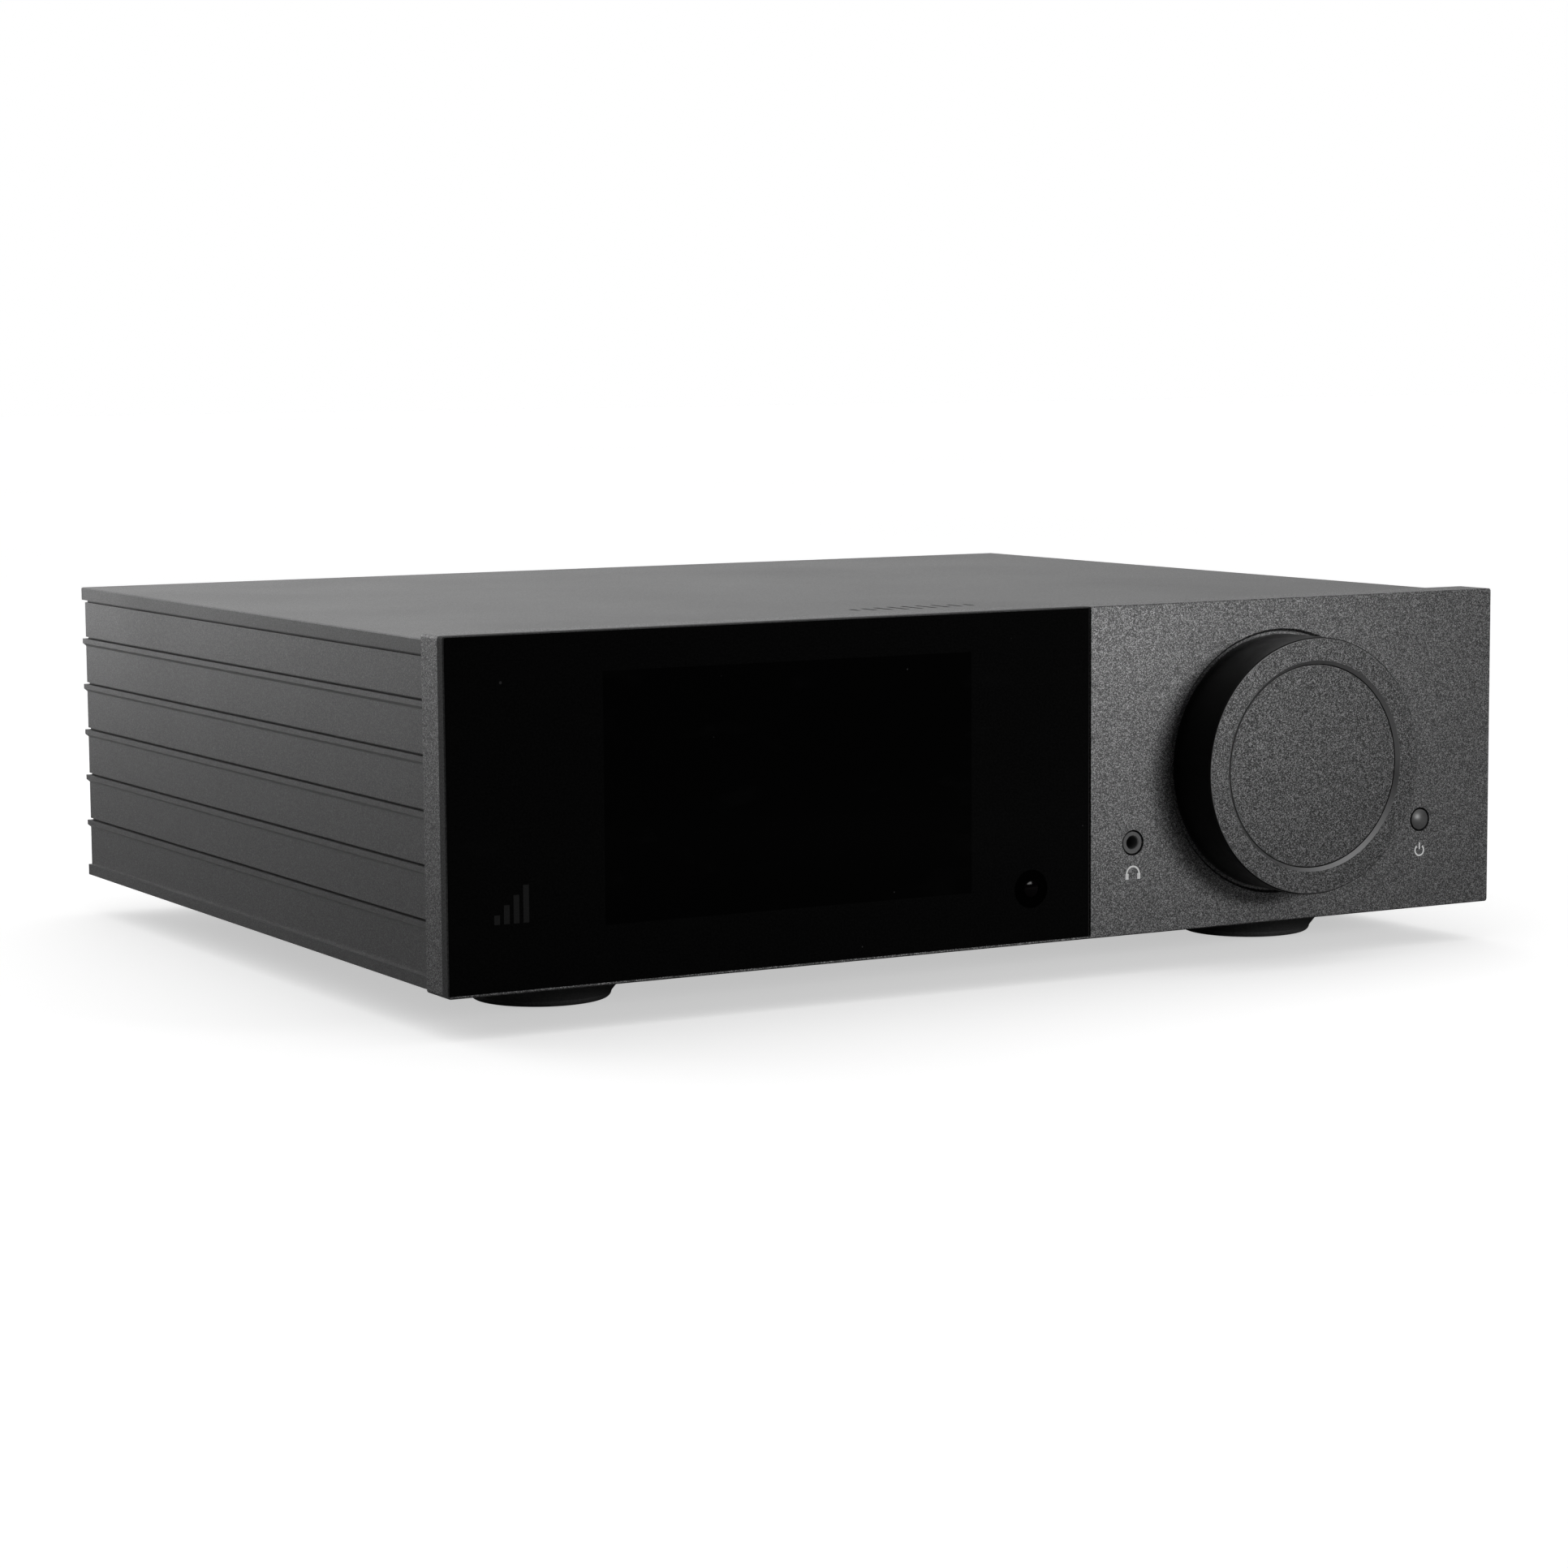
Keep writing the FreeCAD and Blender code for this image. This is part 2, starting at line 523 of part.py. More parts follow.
def lid_mark():
    """A row of short engraved strokes behind the front edge, like a level meter."""
    middle_x, middle_y, pitch, width, depth = -4.0, FRONT + 42.5, 4.6, 1.4, 0.3
    strokes = []
    for i in range(-4, 5):
        half = 2.2 + 3.6 * math.cos(math.radians(20 * i))
        x = middle_x + i * pitch
        strokes.append(rounded_box(x - width / 2, x + width / 2, middle_y - half, middle_y + half,
                                   CASE_TOP - depth, CASE_TOP + 1, width * 0.45, along=Z_AXIS))
    return strokes


def slot_field(x0, x1, y0, y1, pitch_x, pitch_y, width, length):
    """Rows of vent slots through the base plate, long side along Y."""
    columns = int((x1 - x0) // pitch_x) + 1
    rows = int((y1 - y0) // pitch_y) + 1
    slots = []
    for column in range(columns):
        for row in range(rows):
            x, y = x0 + column * pitch_x, y0 + row * pitch_y
            slots.append(rounded_box(x - width / 2, x + width / 2, y, y + length,
                                     CASE_BOTTOM - 1, BASE_TOP + 1, width * 0.49, along=Z_AXIS))
    return slots


def base_plate():
    plate = box(-WALL_IN, WALL_IN, PANEL_BACK, REAR_INNER, CASE_BOTTOM, BASE_TOP)
    cuts = slot_field(-70, 74, PANEL_BACK + 30, PANEL_BACK + 90, 9, 42, *BASE_VENT)
    cuts += [rod_z(x, y, FOOT_BOLT, CASE_BOTTOM - 1, BASE_TOP + 1) for x, y in FOOT_PLACES.values()]
    cuts += [rod_z(side * CHANNEL_X, y, CLEARANCE, CASE_BOTTOM - 1, BASE_TOP + 1)
             for side in (-1, 1) for y in base_screw_ys()]
    return plate.cut(cuts)


def rear_screw_places():
    """Four into the side panels' channels and one into each tab of the lid."""
    corners = [(side * CHANNEL_X, z) for side in (-1, 1) for z in (CHANNEL_LOW, CHANNEL_HIGH)]
    return corners + [(x, LID_BOTTOM - LID_TAB / 2) for x in lid_screw_xs()]


def rear_openings():
    """Middle and size of every rectangular piece that reaches through the rear panel."""
    openings = [(INLET_X, INLET_Z, INLET_BODY), (SWITCH_X, SWITCH_Z, SWITCH_BODY)]
    openings += [(x, SOCKET_Z, size) for x, size in ((OPTICAL_X, OPTICAL_NOSE), (USB_B_X, USB_B_SHELL),
                                                     (USB_A_X, USB_A_SHELL), (HDMI_X, HDMI_SHELL),
                                                     (NETWORK_X, NETWORK_BODY))]
    return openings


def rear_panel():
    panel = box(-WALL_IN, WALL_IN, REAR_INNER, REAR, CASE_BOTTOM, LID_BOTTOM)
    y0, y1 = REAR_INNER - 1, REAR + 1
    cuts = [rod_y(x, z, CLEARANCE, y0, y1) for x, z in rear_screw_places()]
    cuts += [rod_y(x, POST_Z, POST_NECK + 0.6, y0, y1) for x in POST_XS]
    cuts += [rod_y(x, z, RCA_RADIUS + 0.45, y0, y1) for x in RCA_XS for z in RCA_ZS]
    cuts += [centred_box(x, z, width + 2 * OPENING_GAP, height + 2 * OPENING_GAP, y0, y1)
             for x, z, (width, height) in rear_openings()]
    for i in range(VENT_COUNT):
        left = OPTICAL_X - 3.25 + i * VENT_PITCH
        cuts.append(rounded_box(left, left + VENT_WIDTH, y0, y1, POST_Z + 1, POST_Z + 1 + VENT_HEIGHT,
                                VENT_WIDTH * 0.48))
    return panel.cut(cuts)


def case_screws():
    """The visible M3 screws: rear panel, lid and base plate."""
    screws = [screw(Vector(x, REAR, z), Y_AXIS * -1, 8.0) for x, z in rear_screw_places()]
    screws += [screw(Vector(side * CHANNEL_X, y, CASE_BOTTOM), Z_AXIS, 8.0)
               for side in (-1, 1) for y in base_screw_ys()]
    return group(screws)


def board_screws():
    """The M3 screws inside: circuit boards and corner brackets."""
    screws = [screw(Vector(x, FRONT_BOARD_Y + BOARD, PANEL_BOTTOM + z), Y_AXIS * -1, 6.0)
              for x, z in FRONT_BOARD_HOLES]
    screws += [screw(Vector(x, y, MAIN_BOARD_TOP), Z_AXIS * -1, 5.0) for x, y in standoff_places()]
    screws += [screw(Vector(x, PANEL_BACK + 2.0, z), Y_AXIS * -1, 6.0)
               for x, z in bracket_front_holes()]
    for side in (-1, 1):
        screws += [screw(Vector(side * (WALL_IN - 2.0), y, z), X_AXIS * side, 4.5)
                   for y, z in bracket_side_holes()]
    return group(screws)


# ---- feet ----
def foot(x, y):
    """A turned cone with a rounded lower edge, recessed for its pad and its screw's head."""
    low, high = PAD_PROUD, CASE_BOTTOM
    points = [Vector(x, y, low), Vector(x + FOOT_LOW_RADIUS - FOOT_EDGE, y, low),
              Vector(x + FOOT_LOW_RADIUS, y, low + FOOT_EDGE),
              Vector(x + FOOT_TOP_RADIUS, y, high - FOOT_RIM),
              Vector(x + FOOT_TOP_RADIUS, y, high), Vector(x, y, high)]
    bulge = FOOT_EDGE * (1 - math.sqrt(0.5))
    middle = Vector(x + FOOT_LOW_RADIUS - bulge, y, low + bulge)
    edges = [Part.makeLine(points[i], points[(i + 1) % 6]) for i in range(6) if i != 1]
    edges.append(Part.Arc(points[1], middle, points[2]).toShape())
    outline = Part.Wire(Part.sortEdges(edges)[0])
    body = Part.Face(outline).revolve(Vector(x, y, 0), Z_AXIS, 360)
    pad_recess = rod_z(x, y, PAD_RADIUS, -1, PAD_THICKNESS)
    head_recess = rod_z(x, y, PAD_HOLE, -1, FOOT_SEAT)
    screw_hole = rod_z(x, y, FOOT_BOLT, -1, high + 1)
    return body.cut([pad_recess, head_recess, screw_hole])


def foot_pads():
    pads = []
    for x, y in FOOT_PLACES.values():
        ring = rod_z(x, y, PAD_RADIUS, 0, PAD_THICKNESS)
        low_edge = [e for e in ring.Edges if abs(e.CenterOfMass.z) < 0.01]
        ring = ring.makeFillet(0.5, low_edge)
        pads.append(ring.cut(rod_z(x, y, PAD_HOLE, -1, PAD_THICKNESS + 1)))
    return group(pads)


def foot_screws():
    """M4 screws up through the feet and the base plate, each with its nut."""
    pieces = []
    for x, y in FOOT_PLACES.values():
        bolt = screw(Vector(x, y, FOOT_SEAT), Z_AXIS, BASE_TOP - FOOT_SEAT + 4.5, 2.0, 3.9, 2.6)
        nut = hexagon_y(0, 0, 7.0, 0, 3.2)
        nut.Placement = FreeCAD.Placement(Vector(x, y, BASE_TOP), FreeCAD.Rotation(Y_AXIS, Z_AXIS))
        pieces.append(joined([bolt, nut]))
    return group(pieces)


# ---- boards and what stands on them ----
def standoff_places():
    places = []
    for x0, x1, y0, y1 in (MAIN_BOARD, POWER_BOARD):
        places += [(x, y) for x in (x0 + 5, x1 - 5) for y in (y0 + 5, y1 - 22)]
    return places


def board_standoffs():
    posts = []
    for x, y in standoff_places():
        post = rod_z(x, y, 3.0, BASE_TOP, MAIN_BOARD_Z)
        posts.append(post.cut(rod_z(x, y, TAP, BASE_TOP - 1, MAIN_BOARD_Z + 1)))
    return group(posts)


def circuit_board(outline):
    x0, x1, y0, y1 = outline
    board = box(x0, x1, y0, y1, MAIN_BOARD_Z, MAIN_BOARD_TOP)
    holes = [rod_z(x, y, CLEARANCE, MAIN_BOARD_Z - 1, MAIN_BOARD_TOP + 1) for x, y in standoff_places()]
    return board.cut(holes)


def chips_on(board, places):
    """Square packages standing on a board; places are (x, y, side, height)."""
    chips = [box(x - s / 2, x + s / 2, y - s / 2, y + s / 2, MAIN_BOARD_TOP, MAIN_BOARD_TOP + h)
             for x, y, s, h in places]
    return joined([board] + chips)


def main_board():
    rear = REAR_INNER
    return chips_on(circuit_board(MAIN_BOARD), [(30, rear - 50, 10, 1.2), (52, rear - 45, 10, 1.2),
                                                (40, rear - 85, 14, 1.4), (25, rear - 120, 8, 1.2),
                                                (95, rear - 35, 9, 1.2), (120, rear - 120, 8, 1.2)])


def processor_module():
    """Streaming processor on its own small board, under a finned cooler."""
    x0, x1, y0, y1 = 75.0, 130.0, REAR_INNER - 105.0, REAR_INNER - 60.0
    low = MAIN_BOARD_TOP + 3.0
    top = low + BOARD
    board = box(x0, x1, y0, y1, low, top)
    plugs = [box(x0 + 3, x1 - 3, y, y + 4, MAIN_BOARD_TOP, low) for y in (y0 + 2, y1 - 6)]
    left, right, near, far = x0 + 8, x1 - 8, y0 + 5, y1 - 5
    plate = box(left, right, near, far, top, top + 3)
    fin, fin_pitch, fin_height = 1.4, 4.0, 11.0
    fins = [box(left + i * fin_pitch, left + i * fin_pitch + fin, near, far, top + 2, top + fin_height)
            for i in range(10)]
    return joined([board, plate] + plugs + fins)


def power_board():
    rear = POWER_BOARD[3]
    return chips_on(circuit_board(POWER_BOARD), [(-60, rear - 20, 12, 9), (-30, rear - 30, 14, 11),
                                                 (-125, rear - 60, 15, 14), (-25, rear - 90, 10, 6)])


def power_transformer():
    """Ferrite core with its winding, standing on the power board."""
    x, y, z = -95.0, POWER_BOARD[3] - 75.0, MAIN_BOARD_TOP
    half_width, half_depth, height, yoke, leg = 20.0, 8.0, 34.0, 6.0, 3.5
    core = box(x - half_width, x + half_width, y - half_depth, y + half_depth, z, z + height)
    windows = [box(x + dx - 5, x + dx + 5, y - half_depth - 1, y + half_depth + 1,
                   z + yoke, z + height - yoke)
               for dx in (leg - 15, 15 - leg)]
    coil = rod_z(x, y, 15.0, z + yoke + 0.5, z + height - yoke - 0.5)
    return core.cut(windows).fuse(coil)


def power_capacitors():
    """A row of four cans across the power board."""
    y = POWER_BOARD[3] - 130.0
    first_x, pitch, top = -130.0, 26.0, MAIN_BOARD_TOP + 38.0
    cans = []
    for i in range(4):
        can = rod_z(first_x + i * pitch, y, 11.0, MAIN_BOARD_TOP, top)
        rims = [e for e in can.Edges if abs(e.CenterOfMass.z - top) < 0.01]
        cans.append(can.makeFillet(1.2, rims))
    return group(cans)


def heat_sink():
    """Finned bar that cools the output stage, on the base plate between the boards' fronts."""
    x0, y0, y1, low = 12.0, PANEL_BACK + 24.0, PANEL_BACK + 78.0, BASE_TOP
    width, thick, height, fin, pitch = 96.0, 8.0, 44.0, 2.0, 7.5
    bar = box(x0, x0 + width, y0, y1, low, low + thick)
    fins = [box(x0 + i * pitch, x0 + i * pitch + fin, y0, y1, low + thick - 1, low + height)
            for i in range(13)]
    return joined([bar] + fins)


def bent_tube(points, radius, bend):
    """A round wire through the points, with its corners rounded to the bend radius."""
    edges = []
    start = points[0]
    for before, corner, after in zip(points, points[1:], points[2:]):
        entry = corner + (before - corner).normalize() * bend
        leave = corner + (after - corner).normalize() * bend
        centre = entry + leave - corner
        middle = centre + (corner - centre).normalize() * bend
        edges.append(Part.makeLine(start, entry))
        edges.append(Part.Arc(entry, middle, leave).toShape())
        start = leave
    edges.append(Part.makeLine(start, points[-1]))
    route = Part.Wire(edges)
    ring = Part.Wire(Part.makeCircle(radius, points[0], points[1] - points[0]))
    return route.makePipeShell([ring], True, False)


def inner_wiring():
    """Mains leads from the inlet and the switch down to the power board."""
    inlet_tab, switch_tab = REAR - 27.5, REAR - 25.0
    tabs = [(INLET_X + dx, inlet_tab, INLET_PIN_Z - BLADE_DROP) for dx in (-BLADE_SIDE, BLADE_SIDE)]
    tabs += [(SWITCH_X, switch_tab, SWITCH_Z + dz) for dz in (-SWITCH_TAB, SWITCH_TAB)]
    wires = []
    for x, y, z in tabs:
        down = POWER_BOARD[3] - 8.0 - (z - INLET_Z) * 0.8
        points = [Vector(x, y, z), Vector(x, down, z), Vector(x, down, MAIN_BOARD_TOP)]
        wires.append(bent_tube(points, 1.2, 6.0))
    return group(wires)


def display_ribbon():
    """Flat cable from the front board to the power board's edge."""
    x0, x1 = -72.0, -48.0
    y0 = FRONT_BOARD_Y + BOARD + 4
    z0 = PANEL_BOTTOM + 22
    far, thick = POWER_BOARD[2] + 3, 0.8
    return prism_x([(y0, z0), (y0 + 10, z0), (far, MAIN_BOARD_TOP + 3), (far, MAIN_BOARD_TOP),
                    (far + 4, MAIN_BOARD_TOP), (far + 4, MAIN_BOARD_TOP + 3 + thick),
                    (y0 + 10, z0 + thick), (y0, z0 + thick)], x0, x1)


# ---- mains inlet with its fuse drawer, and the switch ----
def mains_inlet():
    flange = rounded_box(INLET_X - 15.5, INLET_X + 15.5, REAR, REAR + 2.5,
                         INLET_Z - 17.5, INLET_Z + 17.5, 2.0)
    body = centred_box(INLET_X, INLET_Z, *INLET_BODY, REAR - 22, REAR)
    cavity = rounded_box(INLET_X - 12.2, INLET_X + 12.2, REAR - 16, REAR + 4,
                         INLET_PIN_Z - 8.2, INLET_PIN_Z + 8.2, 2.5)
    drawer_bay = centred_box(INLET_X, DRAWER_Z, 22.6, 6.6, REAR - 20, REAR + 4)
    pins = [p.BoundBox for p in inlet_pin_bars()]
    slots = [box(b.XMin, b.XMax, b.YMin, b.YMax, b.ZMin, b.ZMax) for b in pins]
    return flange.fuse(body).removeSplitter().cut([cavity, drawer_bay] + slots)


def inlet_pin_bars():
    """Earth blade in the upper middle, live and neutral blades below it, with their rear tabs."""
    places = [(INLET_X, INLET_PIN_Z + BLADE_DROP + 0.5)]
    places += [(INLET_X + dx, INLET_PIN_Z - BLADE_DROP) for dx in (-BLADE_SIDE, BLADE_SIDE)]
    return [centred_box(x, z, 2.0, 4.0, REAR - 27, REAR - 0.5) for x, z in places]


def inlet_pins():
    return group(inlet_pin_bars())


def fuse_drawer():
    """Tray that holds the fuse across it; its face has a finger notch."""
    width, height = 22.0, 6.0
    tray = centred_box(INLET_X, DRAWER_Z, width, height, REAR - 18, REAR + 2.5)
    face = rounded_box(INLET_X - 12.2, INLET_X + 12.2, REAR + 2.6, REAR + 4.2,
                       DRAWER_Z - 4.0, DRAWER_Z + 4.0, 0.8)
    neck = centred_box(INLET_X, DRAWER_Z, width, height, REAR + 2.4, REAR + 2.7)
    fuse_bed = box(INLET_X - 10.1, INLET_X + 10.1, REAR - 13, REAR - 6, DRAWER_Z - 2.7, DRAWER_Z + 4)
    notch = centred_box(INLET_X, DRAWER_Z - 3.6, 8.0, 1.6, REAR + 3.0, REAR + 5)
    return joined([tray, neck, face]).cut([fuse_bed, notch])


def fuse():
    y, z = REAR - 9.5, DRAWER_Z
    glass = rod_x(y, z, 2.3, INLET_X - 10, INLET_X + 10)
    caps = [rod_x(y, z, 2.6, INLET_X + x, INLET_X + x + 5.5) for x in (-10, 4.5)]
    return joined([glass] + caps)


def switch_housing():
    bezel = rounded_box(SWITCH_X - 7.5, SWITCH_X + 7.5, REAR, REAR + 1.6,
                        SWITCH_Z - 11.2, SWITCH_Z + 11.2, 1.2)
    body = centred_box(SWITCH_X, SWITCH_Z, *SWITCH_BODY, REAR - 16, REAR)
    well = centred_box(SWITCH_X, SWITCH_Z, 11.0, 18.4, REAR - 7, REAR + 2)
    pivots = rod_x(SWITCH_PIVOT_Y, SWITCH_Z, 1.0 + RUNNING_GAP, SWITCH_X - 6.2, SWITCH_X + 6.2)
    tabs = [centred_box(SWITCH_X, SWITCH_Z + dz, 6.3, 0.8, REAR - 24.5, REAR - 15)
            for dz in (-SWITCH_TAB, SWITCH_TAB)]
    return joined([bezel, body] + tabs).cut([well, pivots])


def switch_rocker():
    """Rocker with two shallow slopes, leaning to its off side at rest."""
    end, low, rise, mid = 8.5, -1.6, 2.6, 1.4
    y, z = SWITCH_PIVOT_Y, SWITCH_Z
    key = prism_x([(y + low, z - end), (y + rise, z - end), (y + mid, z), (y + rise, z + end),
                   (y + low, z + end)], SWITCH_X - 5.2, SWITCH_X + 5.2)
    pins = rod_x(y, z, 1.0, SWITCH_X - 6.0, SWITCH_X + 6.0)
    key = key.fuse(pins)
    key.rotate(Vector(SWITCH_X, y, z), X_AXIS, SWITCH_TILT)
    return key


# ---- speaker terminals ----
POST_BASE = POST_PLATE + 2.0             # the plate and the post's ring, behind the rear panel
COLLAR_BACK = POST_BASE + 0.3
COLLAR = 1.8
CAP_START = COLLAR_BACK + COLLAR + 0.1
STUD_END = POST_PROUD - 1.4
CAP_RADIUS = 6.8


def terminal_plates():
    plates = []
    for left, right in (POST_XS[:2], POST_XS[2:]):
        plate = rounded_box(left - 9.3, right + 9.3, REAR, REAR + POST_PLATE,
                            POST_Z - 12, POST_Z + 12, 2.5)
        plates.append(plate.cut([rod_y(x, POST_Z, POST_NECK + 0.2, REAR - 1, REAR + POST_PLATE + 1)
                                 for x in (left, right)]))
    return group(plates)


def speaker_posts():
    """Metal studs with a 4 mm plug bore in the end and a nut inside the case."""
    posts = []
    for x in POST_XS:
        stud = rod_y(x, POST_Z, STUD_RADIUS, REAR, REAR + STUD_END)
        ring = rod_y(x, POST_Z, 6.2, REAR + POST_PLATE, REAR + POST_BASE)
        neck = rod_y(x, POST_Z, POST_NECK, REAR - 14, REAR + POST_PLATE)
        nut = hexagon_y(x, POST_Z, 11.0, REAR_INNER - 4, REAR_INNER)
        post = joined([stud, ring, neck, nut])
        posts.append(post.cut(rod_y(x, POST_Z, BANANA_RADIUS, REAR + STUD_END - 16, REAR + STUD_END + 1)))
    return group(posts)


def post_collar(x):
    """Metal clamping ring that slides along the stud with the cap."""
    return tube_y(x, POST_Z, 5.6, STUD_RADIUS + RUNNING_GAP, REAR + COLLAR_BACK,
                  REAR + COLLAR_BACK + COLLAR)


def post_cap(x):
    """Fluted cap that screws along the stud."""
    start, end = REAR + CAP_START, REAR + POST_PROUD
    bevel = 0.8
    body = turned(x, POST_Z, [(STUD_RADIUS + RUNNING_GAP, start), (CAP_RADIUS, start),
                              (CAP_RADIUS, end - bevel), (CAP_RADIUS - bevel, end),
                              (STUD_RADIUS + RUNNING_GAP, end)])
    flutes = []
    for i in range(12):
        angle = math.radians(30 * i)
        flutes.append(rod_y(x + 7.0 * math.cos(angle), POST_Z + 7.0 * math.sin(angle), 0.9,
                            start + 2, end + 1))
    return body.cut(flutes)


# ---- signal sockets ----
def rca_shells():
    shells = []
    for x in RCA_XS:
        for z in RCA_ZS:
            sleeve = rod_y(x, z, RCA_RADIUS, REAR, REAR + RCA_PROUD)
            flange = rod_y(x, z, 6.0, REAR, REAR + 1.0)
            shell = sleeve.fuse(flange).removeSplitter()
            shells.append(shell.cut(rod_y(x, z, RCA_BORE, REAR - 1, REAR + RCA_PROUD + 1)))
    return group(shells)


def rca_cores():
    """Insulators with the centre contact's hole, and the blocks that hold them to the board."""
    cores = []
    for x in RCA_XS:
        block = box(x - 7, x + 7, REAR_INNER - 12, REAR_INNER, MAIN_BOARD_TOP, RCA_ZS[-1] + 7)
        noses = [rod_y(x, z, RCA_BORE, REAR_INNER - 1, REAR + RCA_PROUD - 0.8) for z in RCA_ZS]
        holes = [rod_y(x, z, RCA_CONTACT, REAR, REAR + RCA_PROUD) for z in RCA_ZS]
        cores.append(joined([block] + noses).cut(holes))
    return group(cores)


def optical_socket():
    body = centred_box(OPTICAL_X, SOCKET_Z, 12.0, 14.0, REAR_INNER - 12, REAR_INNER)
    nose = centred_box(OPTICAL_X, SOCKET_Z, *OPTICAL_NOSE, REAR_INNER, REAR + 1.0)
    cavity = centred_box(OPTICAL_X, SOCKET_Z, 6.2, 6.2, REAR - 9, REAR + 2)
    pivot = rod_x(REAR - 0.6, SOCKET_Z + 2.6, 0.4 + RUNNING_GAP, OPTICAL_X - 4, OPTICAL_X + 4)
    return body.fuse(nose).removeSplitter().cut([cavity, pivot])


def optical_shutter():
    """Little flap that hangs from a pin at the top of the optical socket's mouth."""
    y, z = REAR - 0.6, SOCKET_Z + 2.6
    flap = box(OPTICAL_X - 2.8, OPTICAL_X + 2.8, y - 0.4, y + 0.4, SOCKET_Z - 2.8, z)
    pin = rod_x(y, z, 0.4, OPTICAL_X - 3.9, OPTICAL_X + 3.9)
    return flap.fuse(pin)


def socket_shell(x, size, wall, depth, tongue_size):
    """A metal socket shell on the main board, open to the rear, with a tongue inside."""
    width, height = size
    front, mouth = REAR - depth, REAR + 0.6
    shell = centred_box(x, SOCKET_Z, width, height, front - 1, mouth)
    cavity = centred_box(x, SOCKET_Z, width - 2 * wall, height - 2 * wall, front, mouth + 1)
    tongue = centred_box(x, SOCKET_Z, *tongue_size, front - 0.5, mouth - 1.0)
    stand = box(x - width / 2, x + width / 2, front - 1, REAR_INNER, MAIN_BOARD_TOP, SOCKET_Z)
    return shell.fuse(stand).cut(cavity).fuse(tongue)


def usb_sockets():
    return group([socket_shell(USB_B_X, USB_B_SHELL, 1.4, 12.0, (5.6, 3.2)),
                  socket_shell(USB_A_X, USB_A_SHELL, 0.4, 12.0, (11.2, 1.8))])


def hdmi_socket():
    return socket_shell(HDMI_X, HDMI_SHELL, 0.5, 11.0, (11.5, 1.6))


def network_socket():
    body = centred_box(NETWORK_X, SOCKET_Z, *NETWORK_BODY, REAR_INNER - 15, REAR + 0.8)
    cavity = centred_box(NETWORK_X, SOCKET_Z + 0.8, 11.8, 7.0, REAR - 12, REAR + 2)
    latch = centred_box(NETWORK_X, SOCKET_Z - 3.6, 6.2, 3.0, REAR - 12, REAR + 2)
    stand = centred_box(NETWORK_X, MAIN_BOARD_TOP + 0.3, 14.0, 0.6, REAR_INNER - 14, REAR_INNER)
    return joined([body, stand]).cut([cavity, latch])


# ---- every piece, by its name ----
NODES = {
    "front_panel": front_panel(),
    "display_glass": display_glass(),
    "display_module": display_module(),
    "ir_receiver": ir_receiver(),
    "front_board": front_board(),
    "headphone_jack": headphone_jack(),
    "standby_button": standby_button(),
    "standby_switch": standby_switch(),
    "knob_ring": knob_ring(),
    "knob_disc": knob_disc(),
    "knob_grub_screw": knob_grub_screw(),
    "encoder_shaft": encoder_shaft(),
    "encoder_body": encoder_body(),
    "encoder_nut": encoder_nut(),
    "side_panel_left": side_panel(-1),
    "side_panel_right": side_panel(1),
    "corner_brackets": corner_brackets(),
    "lid": lid(),
    "base_plate": base_plate(),
    "rear_panel": rear_panel(),
    "case_screws": case_screws(),
    "board_screws": board_screws(),
    "foot_pads": foot_pads(),
    "foot_screws": foot_screws(),
    "board_standoffs": board_standoffs(),
    "main_board": main_board(),
    "processor_module": processor_module(),
    "power_board": power_board(),
    "power_transformer": power_transformer(),
    "power_capacitors": power_capacitors(),
    "heat_sink": heat_sink(),
    "inner_wiring": inner_wiring(),
    "display_ribbon": display_ribbon(),
    "mains_inlet": mains_inlet(),
    "inlet_pins": inlet_pins(),
    "fuse_drawer": fuse_drawer(),
    "fuse": fuse(),
    "switch_housing": switch_housing(),
    "switch_rocker": switch_rocker(),
    "terminal_plates": terminal_plates(),
    "speaker_posts": speaker_posts(),
    "rca_shells": rca_shells(),
    "rca_cores": rca_cores(),
    "optical_socket": optical_socket(),
    "optical_shutter": optical_shutter(),
    "usb_sockets": usb_sockets(),
    "hdmi_socket": hdmi_socket(),
    "network_socket": network_socket(),
}
for place, (foot_x, foot_y) in FOOT_PLACES.items():
    NODES["foot_" + place] = foot(foot_x, foot_y)
for number, post_x in enumerate(POST_XS, start=1):
    NODES["post_collar_%d" % number] = post_collar(post_x)
    NODES["post_cap_%d" % number] = post_cap(post_x)

os.makedirs("parts", exist_ok=True)
for name, shape in NODES.items():
    if not shape.isValid() or not shape.Solids:
        print("not a valid solid:", name)
    shape.exportStep("parts/%s.step" % name)
print("exported", len(NODES), "nodes")
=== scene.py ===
import bmesh
import bpy
import json
import math
from mathutils import Euler, Matrix, Vector


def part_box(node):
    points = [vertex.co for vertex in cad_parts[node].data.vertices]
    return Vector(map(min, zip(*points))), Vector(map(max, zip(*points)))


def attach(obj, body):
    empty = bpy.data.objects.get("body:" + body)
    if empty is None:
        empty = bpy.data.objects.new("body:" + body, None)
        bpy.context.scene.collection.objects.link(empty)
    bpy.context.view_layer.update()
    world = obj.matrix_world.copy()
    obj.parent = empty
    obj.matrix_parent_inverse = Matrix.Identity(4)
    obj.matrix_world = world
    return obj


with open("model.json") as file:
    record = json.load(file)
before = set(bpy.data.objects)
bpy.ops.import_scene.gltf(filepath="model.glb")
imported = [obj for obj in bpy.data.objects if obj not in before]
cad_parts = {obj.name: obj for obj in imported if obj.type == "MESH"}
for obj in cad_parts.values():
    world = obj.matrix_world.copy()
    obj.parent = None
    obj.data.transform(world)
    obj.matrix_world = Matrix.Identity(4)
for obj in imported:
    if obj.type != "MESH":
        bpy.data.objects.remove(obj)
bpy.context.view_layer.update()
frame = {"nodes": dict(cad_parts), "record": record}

MM = 0.001
NODES = frame["nodes"]
